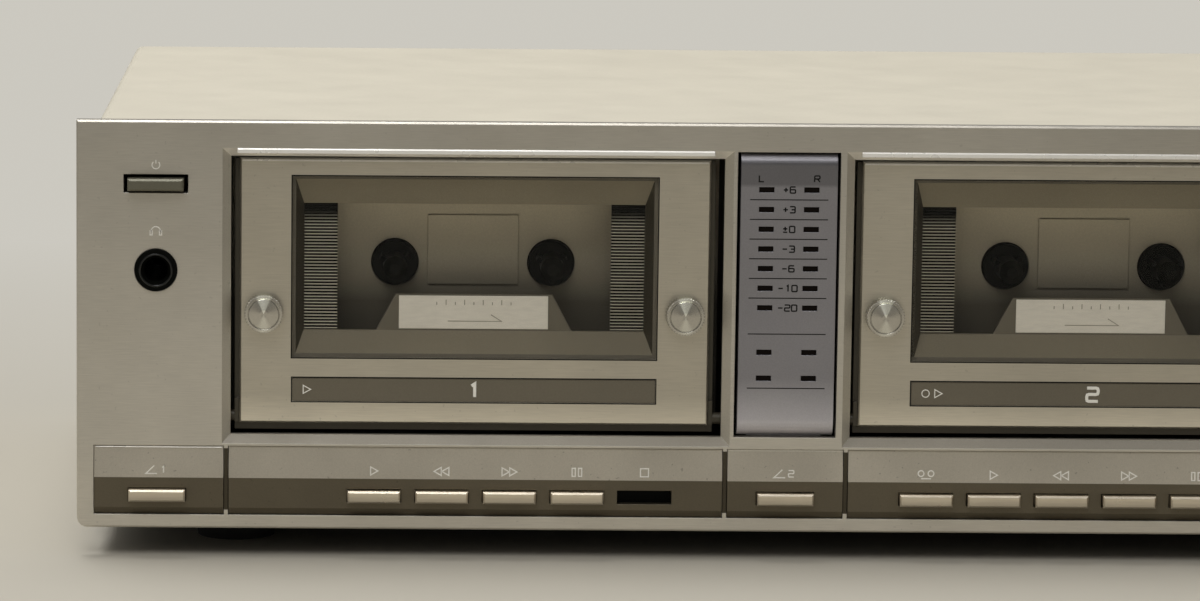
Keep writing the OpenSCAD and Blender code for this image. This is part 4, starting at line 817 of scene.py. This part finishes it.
def cross_screw(name, u, d, v):
    """A pan-head screw whose crossed recess is cut into its head."""
    shape = bmesh.new()

    def ring(points, lift):
        return [shape.verts.new(at(u + x, d + lift, v + y)) for x, y in points]

    def wall(lower, higher):
        for (a, b), (c, e) in zip(around(lower), around(higher)):
            shape.faces.new((a, b, e, c))

    rims = [ring(ring_points(SCREW_R - inset, TURNED_SIDES), lift) for inset, lift in SCREW_PROFILE]
    for lower, higher in zip(rims, rims[1:]):
        wall(lower, higher)
    shape.faces.new(rims[0])
    cross = cross_outline()
    mouth = ring(cross, SCREW_T)
    floor = ring([(x * CROSS_TAPER, y * CROSS_TAPER) for x, y in cross], CROSS_FLOOR)
    wall(mouth, floor)
    shape.faces.new(floor)
    edges = [shape.edges.get(pair) for line in (rims[-1], mouth) for pair in around(line)]
    bmesh.ops.triangle_fill(shape, use_beauty=True, edges=edges)
    put_shape(name, shape, "cabinet", "screw_steel")


# Lines of print: each is a row of 2-D points in mm with a flag that says whether it closes

MITRE_LEAST = 0.35
CUT_SHARE = 0.45
PALE = ("pale_ink", "key_bright")
DARK = ("dark_ink", "lens_dark")
OUTLINE = ("dark_ink", "black_matt")
FAINT = ("faint_ink", "key_bright")


def stroke(*points):
    """An open line."""
    return (points, False)


def loop(*points):
    """A closed line."""
    return (points, True)


def oblong(width, height):
    """A closed rectangle about the origin."""
    x, y = width / 2, height / 2
    return loop((-x, -y), (x, -y), (x, y), (-x, y))


def ring_points(radius, count=20):
    """Points round a circle about the origin."""
    return [(radius * cos(2 * pi * i / count), radius * sin(2 * pi * i / count)) for i in range(count)]


def shifted(lines, dx, dy=0.0, scale=1.0):
    """Lines scaled and then moved."""
    return [([(x * scale + dx, y * scale + dy) for x, y in points], closed) for points, closed in lines]


def softened(line, radius):
    """A line whose corners are cut back and rounded."""
    points, closed = line
    made = []
    count = len(points)
    for i, here in enumerate(points):
        if not closed and i in (0, count - 1):
            made.append(here)
            continue
        corner = Vector(here)
        cuts = []
        for neighbour in (Vector(points[i - 1]), Vector(points[(i + 1) % count])):
            way = neighbour - corner
            cuts.append(corner + way.normalized() * min(radius, way.length * CUT_SHARE))
        bow = (cuts[0] + cuts[1]) / 4 + corner / 2
        made += [tuple(cuts[0]), tuple(bow), tuple(cuts[1])]
    return (made, closed)


def ribbon(points, closed, width):
    """Left and right edges of a line of the given width, mitred at its corners."""
    count = len(points)
    edges = []
    for i, here in enumerate(points):
        before = points[i - 1] if closed or i else None
        after = points[(i + 1) % count] if closed or i < count - 1 else None
        way_in = (here - before).normalized() if before is not None else (after - here).normalized()
        way_out = (after - here).normalized() if after is not None else way_in
        normal_in = Vector((-way_in.y, way_in.x))
        normal_out = Vector((-way_out.y, way_out.x))
        mitre = (normal_in + normal_out).normalized()
        reach = width / 2 / max(MITRE_LEAST, mitre.dot(normal_in))
        edges.append((here + mitre * reach, here - mitre * reach))
    return edges


def printed(name, lines, place, ink, width, body="cabinet"):
    """A printed mark of raised lines, laid on a surface by place(x, y, lift)."""
    verts, faces = [], []
    for points, closed in lines:
        edges = ribbon([Vector(p) for p in points], closed, width)
        start, count = len(verts), len(edges)
        for edge in edges:
            for corner in edge:
                verts += [place(corner.x, corner.y, -SUNK), place(corner.x, corner.y, INK)]
        for i in range(count if closed else count - 1):
            a, b = start + 4 * i, start + 4 * ((i + 1) % count)
            faces += [(a + 1, b + 1, b + 3, a + 3), (a, a + 2, b + 2, b)]
            faces += [(a, b, b + 1, a + 1), (a + 2, a + 3, b + 3, b + 2)]
        if not closed:
            last = start + 4 * (count - 1)
            faces += [(start, start + 1, start + 3, start + 2), (last, last + 2, last + 3, last + 1)]
    put_faces(name, verts, faces, body, *ink)


def on_slant(u, v):
    """Lays a mark on a key block's slanted upper face."""
    def place(x, y, lift):
        height = v + y
        rise = (height - SLANT_LOW) / (BLOCK_TOP - SLANT_LOW)
        return at(u + x, SLANT_FRONT + (SLANT_BACK - SLANT_FRONT) * rise - lift, height)
    return place


def on_front(u, d, v):
    """Lays a mark on a face that looks straight forward."""
    return lambda x, y, lift: at(u + x, d - lift, v + y)


# Characters one unit high and about one wide, in a wide square style

GLYPH_HALF = 0.42
GLYPH_SOFT = 0.16
GLYPH_STEP = 1.12


def glyph_shapes():
    """Lines of each character, about the origin."""
    w = GLYPH_HALF

    def bent(*points):
        return softened(stroke(*points), GLYPH_SOFT)

    zero = softened(oblong(2 * w, 1.0), GLYPH_SOFT)
    minus = stroke((-0.36, 0.0), (0.36, 0.0))
    return {
        "0": [zero],
        "1": [stroke((-0.16, 0.34), (0.08, 0.5), (0.08, -0.5))],
        "2": [bent((-w, 0.5), (w, 0.5), (w, 0.02), (-w, 0.02), (-w, -0.5), (w, -0.5))],
        "3": [bent((-w, 0.5), (w, 0.5), (w, -0.5), (-w, -0.5)), stroke((-0.15, 0.0), (w, 0.0))],
        "4": [stroke((0.2, -0.5), (0.2, 0.5), (-w, -0.2), (w, -0.2))],
        "6": [bent((w, 0.5), (-w, 0.5), (-w, -0.5), (w, -0.5), (w, 0.05), (-w, 0.05))],
        "8": [zero, stroke((-w, 0.02), (w, 0.02))],
        "+": [minus, stroke((0.0, -0.36), (0.0, 0.36))],
        "-": [minus],
        "±": [
            stroke((-0.34, 0.1), (0.34, 0.1)),
            stroke((0.0, -0.22), (0.0, 0.42)),
            stroke((-0.34, -0.46), (0.34, -0.46)),
        ],
        "L": [stroke((-w, 0.5), (-w, -0.5), (w * 0.8, -0.5))],
        "R": [bent((-w, -0.5), (-w, 0.5), (w, 0.5), (w, 0.0), (-w, 0.0)), stroke((0.05, 0.0), (w, -0.5))],
    }


GLYPHS = glyph_shapes()


def glyph_lines(text, height):
    """Lines of a short number or letter, centred on the origin."""
    lines = []
    for i, letter in enumerate(text):
        lines += shifted(GLYPHS[letter], (i - (len(text) - 1) / 2) * GLYPH_STEP)
    return shifted(lines, 0.0, 0.0, height)


# Signs

KEY_SIGNS = {
    "play_key": "play", "rewind_key": "rewind", "forward_key": "forward", "pause_key": "pause",
    "stop_lever": "stop", "stop_key": "stop", "record_key": "record",
}
BLOCK_SIGNS = {"eject_key_1": "eject_1", "eject_key_2": "eject_2", "dubbing_key": "dub"}


def triangle(direction, height):
    """An outlined triangle pointing right (1) or left (-1)."""
    half = height / 2
    base, tip = -half * 0.85 * direction, half * 0.95 * direction
    return loop((base, -half), (base, half), (tip, 0.0))


def key_sign_shapes():
    """Lines of the signs over the keys, by name."""
    h = KEY_SIGN_H
    small = h * 0.8
    number = {deck: glyph_lines(str(deck), small) for deck in DECKS}
    post = [oblong(h * 0.4, h)]
    reel = [(ring_points(h * 0.36), True)]
    flap = [stroke((h * 0.7, -h / 2), (-h * 0.7, -h / 2), (h * 0.35, h / 2))]
    to_left, to_right = [triangle(-1, h)], [triangle(1, h)]
    return {
        "play": to_right,
        "rewind": shifted(to_left, -h * 0.48) + shifted(to_left, h * 0.48),
        "forward": shifted(to_right, -h * 0.48) + shifted(to_right, h * 0.48),
        "pause": shifted(post, -h * 0.4) + shifted(post, h * 0.4),
        "stop": [oblong(h, h)],
        "record": shifted(reel, -h * 0.62, h * 0.14) + shifted(reel, h * 0.62, h * 0.14)
                  + [stroke((-h * 0.62, -h * 0.5), (h * 0.62, -h * 0.5))],
        "eject_1": shifted(flap, -h * 0.7) + shifted(number[1], h * 0.75),
        "eject_2": shifted(flap, -h * 0.7) + shifted(number[2], h * 0.75),
        "dub": shifted(number[1], -h) + [triangle(1, small)] + shifted(number[2], h),
    }


def key_signs():
    """The signs over the keys."""
    shapes = key_sign_shapes()
    signs = {node: KEY_SIGNS[node[:-2]] for node in frame["nodes"] if node[:-2] in KEY_SIGNS}
    for node, sign in {**signs, **BLOCK_SIGNS}.items():
        place = on_slant(middle(node).x, KEY_SIGN_Z)
        printed("mark_" + node, shapes[sign], place, PALE, KEY_STROKE)


def meter_print():
    """Numbers between the lamp columns, thin rules between the rows, and the channels' letters."""
    front = METER_LOW.y
    heights = [SCALE_LOW + i * SCALE_PITCH for i in range(len(SCALE_MARKS))]
    for i, (text, height) in enumerate(zip(SCALE_MARKS, heights)):
        place = on_front(METER_X, front, height)
        printed(f"scale_number_{i}", glyph_lines(text, METER_DIGIT_H), place, DARK, METER_STROKE)
    rules = [height - SCALE_PITCH / 2 for height in heights[1:]]
    rule = [stroke((-RULE_W / 2, 0.0), (RULE_W / 2, 0.0))]
    for i, height in enumerate((*rules, *RULE_Z)):
        printed(f"scale_rule_{i}", rule, on_front(METER_X, front, height), DARK, RULE_STROKE)
    for letter, u in (("L", LENS_LOW.x + CHANNEL_IN), ("R", LENS_HIGH.x - CHANNEL_IN)):
        place = on_front(u, front, SCALE_TOP + CHANNEL_UP)
        printed("channel_" + letter, glyph_lines(letter, METER_DIGIT_H), place, DARK, METER_STROKE)


def pictograms():
    """Plain signs over the power button and the phones socket, and on the legend strips."""
    button, jack = middle("power_button"), middle("phones_jack")
    turns = [radians(a) for a in range(40, 321, 20)]
    arc = stroke(*((POWER_R * sin(a), POWER_R * cos(a)) for a in turns))
    stem = stroke(*((0.0, y) for y in POWER_STEM))
    place = on_front(button.x, 0.0, button.z + POWER_UP)
    printed("sign_power", [arc, stem], place, PALE, SIGN_STROKE)
    turns = [radians(a) for a in range(0, 181, 15)]
    phones = [stroke(*((PHONES_R * cos(a), PHONES_R * sin(a)) for a in turns))]
    for side in (-PHONES_R, PHONES_R):
        phones += shifted([oblong(*PHONES_CUP)], side, -PHONES_CUP_DROP)
    place = on_front(jack.x, 0.0, jack.z + PHONES_UP)
    printed("sign_phones", phones, place, PALE, SIGN_STROKE)
    play = [triangle(1, DECK_SIGN_H)]
    record_and_play = [(ring_points(DECK_REEL_R), True)] + shifted(play, DECK_SIGN_STEP)
    for deck, signs in zip(DECKS, (play, record_and_play)):
        left = AXIS[deck] - LEGEND_W / 2 + DECK_SIGN_IN
        place = on_front(left, PLATE_LOW.y + LEGEND_DEEP - LEGEND_T, LEGEND_MID)
        printed(f"sign_deck_{deck}", signs, place, PALE, SIGN_STROKE, f"door_{deck}")


def level_scale():
    """Numbers and ticks round the level knobs."""
    low, high = panel_box("level_ring")
    u, v = (low.x + high.x) / 2, (low.z + high.z) / 2
    radius = (high.x - low.x) / 2
    ticks = []
    for i in range(LEVEL_COUNT):
        angle = pi / 2 + LEVEL_SWEEP / 2 - LEVEL_SWEEP * i / (LEVEL_COUNT - 1)
        across, up = cos(angle), sin(angle)
        ticks.append(stroke(*((across * (radius + off), up * (radius + off)) for off in LEVEL_TICK)))
        if i % 2 == 0:
            reach = radius + LEVEL_NUMBER_OFF
            place = on_front(u + across * reach, 0.0, v + up * reach)
            printed(f"level_number_{i}", glyph_lines(str(i), LEVEL_DIGIT_H), place, PALE, LEVEL_STROKE)
    printed("level_ticks", ticks, on_front(u, 0.0, v), PALE, TICK_STROKE)


# Trim

ARROW = stroke((-7.0, -2.4), (7.5, -2.4), (4.6, -0.6))
RULER_START = -10.0
RULER_STEP = 2.5
RULER_COUNT = 9
RULER_FOOT = 2.0
RULER_TOPS = (2.8, 3.4)


def legend_strip(deck):
    """The legend strip below a window."""
    axis, body = AXIS[deck], f"door_{deck}"
    half = LEGEND_W / 2 - LEGEND_INSET
    face = PLATE_LOW.y + LEGEND_DEEP
    low = (axis - half, face - LEGEND_T, LEGEND_Z[0] + LEGEND_INSET)
    high = (axis + half, face, LEGEND_Z[1] - LEGEND_INSET)
    slab(f"legend_strip_{deck}", low, high, LEGEND_BEVEL, body, "legend_taupe")


def door_outlines(deck):
    """Dark lines round a door's window and legend strip; the one round the legend strip is painted shade
    along its recessed edge.
    """
    for name, width, (low, high) in (
        ("window_outline", WINDOW_W, WINDOW_Z),
        ("legend_outline", LEGEND_W, LEGEND_Z),
    ):
        outline = oblong(width + 2 * OUTLINE_OUT, high - low + 2 * OUTLINE_OUT)
        place = on_front(AXIS[deck], PLATE_LOW.y, (low + high) / 2)
        printed(f"{name}_{deck}", [outline], place, OUTLINE, OUTLINE_STROKE, f"door_{deck}")


def deck_number(deck):
    """The deck's number on its legend strip."""
    number = glyph_lines(str(deck), DECK_DIGIT_H)
    place = on_front(AXIS[deck], PLATE_LOW.y + LEGEND_DEEP - LEGEND_T, LEGEND_MID)
    printed(f"deck_number_{deck}", number, place, PALE, DECK_STROKE, f"door_{deck}")


def label(deck):
    """The paper label on a holder's head cover, with a faint arrow and ruler."""
    axis, body = AXIS[deck], f"door_{deck}"
    low = (axis + LABEL_X[0], HOOD_Y - LABEL_T, LABEL_Z[0])
    high = (axis + LABEL_X[1], HOOD_Y, LABEL_Z[1])
    slab(f"label_plate_{deck}", low, high, LABEL_BEVEL, body, "label_paper")
    lines = [ARROW]
    for i in range(RULER_COUNT):
        x = RULER_START + RULER_STEP * i
        lines.append(stroke((x, RULER_FOOT), (x, RULER_TOPS[i % 2])))
    place = on_front(axis, HOOD_Y - LABEL_T, LABEL_MID)
    printed(f"label_print_{deck}", lines, place, FAINT, LABEL_STROKE, body)


def opening_top():
    """Height of the upper edge of the door openings in the panel's front face."""
    panel = frame["nodes"]["front_panel"].data
    heads = [face for face in panel.polygons if face.material_index == HIGHLIGHT_FACE]
    edges = [panel.vertices[i].co.z for face in heads for i in face.vertices]
    return (max(edges) - PANEL_LOW.z) / MM


def bright_lips(deck):
    """A near-white bar in the head of a door opening and one on the door plate's upper edge, painted
    highlights.
    """
    low, high = panel_box(f"door_plate_{deck}")
    head = [(SUNK, SUNK), (-HEAD_PROUD, -HEAD_FACET), (-HEAD_PROUD, -HEAD_H), (HEAD_H + SUNK, -HEAD_H)]
    span = (low.x - HEAD_SIDE, high.x + HEAD_SIDE)
    bar(f"opening_bar_{deck}", span, head, 0.0, opening_top(), "cabinet")
    edge = [(SUNK, 0.0), (0.0, 0.0), (-EDGE_PROUD, -EDGE_H), (SUNK, -EDGE_H)]
    span = (low.x + EDGE_H, high.x - EDGE_H)
    bar(f"plate_edge_{deck}", span, edge, low.y, high.z - EDGE_DROP, f"door_{deck}")


def block_edge():
    """A near-white bar on the left key block's upper edge, a painted highlight."""
    span = (BLOCKS_LOW.x + EDGE_DROP, STRIP_LOW.x - GROOVE_W - EDGE_DROP)
    wedge = [(SUNK, 0.0), (-BLOCK_EDGE_PROUD, -BLOCK_EDGE_H), (SUNK, -BLOCK_EDGE_H)]
    bar("block_edge", span, wedge, SLANT_BACK, BLOCK_TOP, "cabinet")


def jack_lip():
    """The glossy rolled lip round the mouth of the phones socket."""
    spot, front = middle("phones_jack"), panel_box("phones_jack")[0].y
    roll = ring_points(JACK_ROLL, JACK_ROLL_STEPS)
    profile = [(JACK_MOUTH_R + x, front + y) for x, y in roll]
    turned("jack_lip", profile, spot.x, spot.z, "gloss_black_lip", JACK_SIDES)


def rear_sockets():
    """Coloured collars and insulators on the phono sockets, white on one side and red on the other."""
    centre, end = middle("phono_sockets"), panel_box("phono_sockets")[1].y
    face = REAR_HIGH.y
    collar = (
        (SLEEVE_R + COLLAR_GAP, face - SUNK),
        (COLLAR_R, face - SUNK),
        (COLLAR_R, face + COLLAR_T - COLLAR_CHAMFER),
        (COLLAR_R - COLLAR_CHAMFER, face + COLLAR_T),
        (SLEEVE_R + COLLAR_GAP, face + COLLAR_T),
    )
    core = (
        (PIN_R, end - CORE_SUNK),
        (PIN_R + CORE_ROUND, end - CORE_SUNK + CORE_ROUND),
        (CORE_R - CORE_ROUND, end + CORE_PROUD),
        (CORE_R, end + CORE_PROUD - CORE_ROUND / 2),
        (CORE_R, end - SUNK),
        (PIN_R, end - CORE_SUNK - SUNK),
    )
    half = SOCKET_PITCH / 2
    for row, up in enumerate((-half, half)):
        for column, (across, plastic) in enumerate(((-half, "white_plastic"), (half, "red_plastic"))):
            i = 2 * row + column
            turned(f"socket_collar_{i}", collar, centre.x + across, centre.z + up, plastic)
            turned(f"socket_core_{i}", core, centre.x + across, centre.z + up, plastic)


def rear_screws():
    """The rear panel's screws, in two rows of three."""
    columns = (REAR_LOW.x + SCREW_IN, (REAR_LOW.x + REAR_HIGH.x) / 2, REAR_HIGH.x - SCREW_IN)
    rows = (REAR_LOW.z + SCREW_IN, REAR_HIGH.z - SCREW_IN)
    for i, u in enumerate(columns):
        for j, v in enumerate(rows):
            cross_screw(f"rear_screw_{2 * i + j}", u, REAR_HIGH.y, v)


# Stage, light and camera; metres and watts

FLOOR_R = 9.0
FLOOR_SIDES = 96
FLOOR_CLOUDS = 3
FLOOR_CLOUD_LEVELS = (0.0, 0.25)
FLOOR_ROUGHNESS = 0.7
FLOOR_SPECULAR = 0.15
BACKDROP_Y = (0.05, 0.55)
SKY_SPAN = (0.0, 0.9)
SKY_STRENGTHS = (0.12, 0.48)
LAMP_SIZE = 0.9
LAMP_TARGET = Vector((0.0, 0.0, 0.05))
LAMPS = {"top_softbox": ((-0.35, 0.18, 1.5), 12.5), "front_softbox": ((-0.4, -1.3, 1.5), 9.5)}

# The photograph's width, focal length and middle column in pixels, then the camera's angles and place
IMAGE_W = 1200
FOCAL_PX = 4920.4
CENTRE_PX = 361.3
PITCH, ROLL = 7.987, 0.394
CAMERA_PLACE = (76.11, -1301.8, 244.7)
SENSOR_W = 36
CLIP = (0.05, 50)


def floor_pale():
    """A pale floor that, seen directly or in a reflection, goes over into an even backdrop."""
    made = bpy.data.materials.new("floor_pale")
    made.use_nodes = True
    tree = made.node_tree
    shader = tree.nodes["Principled BSDF"]
    cloud = remap(tree, noise(tree, FLOOR_CLOUDS, 4), *NOISE_SPAN, *FLOOR_CLOUD_LEVELS)
    tones = [rgb(tone) for tone in FLOOR_TONES]
    tree.links.new(mixed(tree, cloud, *tones), shader.inputs["Base Color"])
    shader.inputs["Roughness"].default_value = FLOOR_ROUGHNESS
    shader.inputs["Specular IOR Level"].default_value = FLOOR_SPECULAR
    path = add(tree, "LightPath").outputs
    seen = maths(tree, "MAXIMUM", path["Is Camera Ray"], path["Is Glossy Ray"])
    seen = maths(tree, "MAXIMUM", seen, path["Is Transmission Ray"])
    far = remap(tree, along(tree, "Y"), *BACKDROP_Y, 0.0, 1.0)
    backdrop = add(tree, "Emission", Color=rgb(BACKDROP), Strength=1.0)
    join_shaders(tree, maths(tree, "MULTIPLY", far, seen), shader.outputs[0], backdrop.outputs[0])
    return made


def studio_floor():
    """The round floor under the object."""
    mesh = bpy.data.meshes.new("floor")
    shape = bmesh.new()
    bmesh.ops.create_circle(shape, cap_ends=True, radius=FLOOR_R, segments=FLOOR_SIDES)
    shape.to_mesh(mesh)
    shape.free()
    mesh.materials.append(floor_pale())
    floor = bpy.data.objects.new("floor", mesh)
    bpy.context.scene.collection.objects.link(floor)


def sky():
    """Soft light from all round, stronger from above."""
    world = bpy.data.worlds.new("studio")
    world.use_nodes = True
    bpy.context.scene.world = world
    tree = world.node_tree
    way = add(tree, "TexCoord").outputs["Generated"]
    up = add(tree, "SeparateXYZ", Vector=way).outputs["Z"]
    background = tree.nodes["Background"]
    tree.links.new(remap(tree, up, *SKY_SPAN, *SKY_STRENGTHS), background.inputs["Strength"])
    background.inputs["Color"].default_value = rgb(SKY)


def lamp(name, spot, power):
    """A soft square lamp aimed at the object."""
    data = bpy.data.lights.new(name, "AREA")
    data.shape = "RECTANGLE"
    data.size = LAMP_SIZE
    data.size_y = LAMP_SIZE
    data.energy = power
    made = bpy.data.objects.new(name, data)
    bpy.context.scene.collection.objects.link(made)
    made.location = spot
    made.rotation_euler = (LAMP_TARGET - Vector(spot)).to_track_quat("-Z", "Y").to_euler()


def camera():
    """The photograph's viewpoint: a long lens, a little above the cabinet, in front of the left deck."""
    data = bpy.data.cameras.new("camera")
    data.sensor_width = SENSOR_W
    data.lens = FOCAL_PX / IMAGE_W * SENSOR_W
    data.shift_x = (IMAGE_W / 2 - CENTRE_PX) / IMAGE_W
    data.clip_start, data.clip_end = CLIP
    made = bpy.data.objects.new("camera", data)
    bpy.context.scene.collection.objects.link(made)
    tilt = Matrix.Rotation(radians(90 - PITCH), 4, "X") @ Matrix.Rotation(radians(ROLL), 4, "Z")
    made.matrix_world = Matrix.Translation(at(*CAMERA_PLACE)) @ tilt
    bpy.context.scene.camera = made


dress_nodes()
key_signs()
meter_print()
for deck in DECKS:
    legend_strip(deck)
    door_outlines(deck)
    deck_number(deck)
    label(deck)
    bright_lips(deck)
block_edge()
rear_sockets()
rear_screws()
jack_lip()
pictograms()
level_scale()
studio_floor()
sky()
for lamp_name, (lamp_spot, lamp_power) in LAMPS.items():
    lamp(lamp_name, lamp_spot, lamp_power)
camera()
bpy.context.scene.view_settings.view_transform = "Standard"
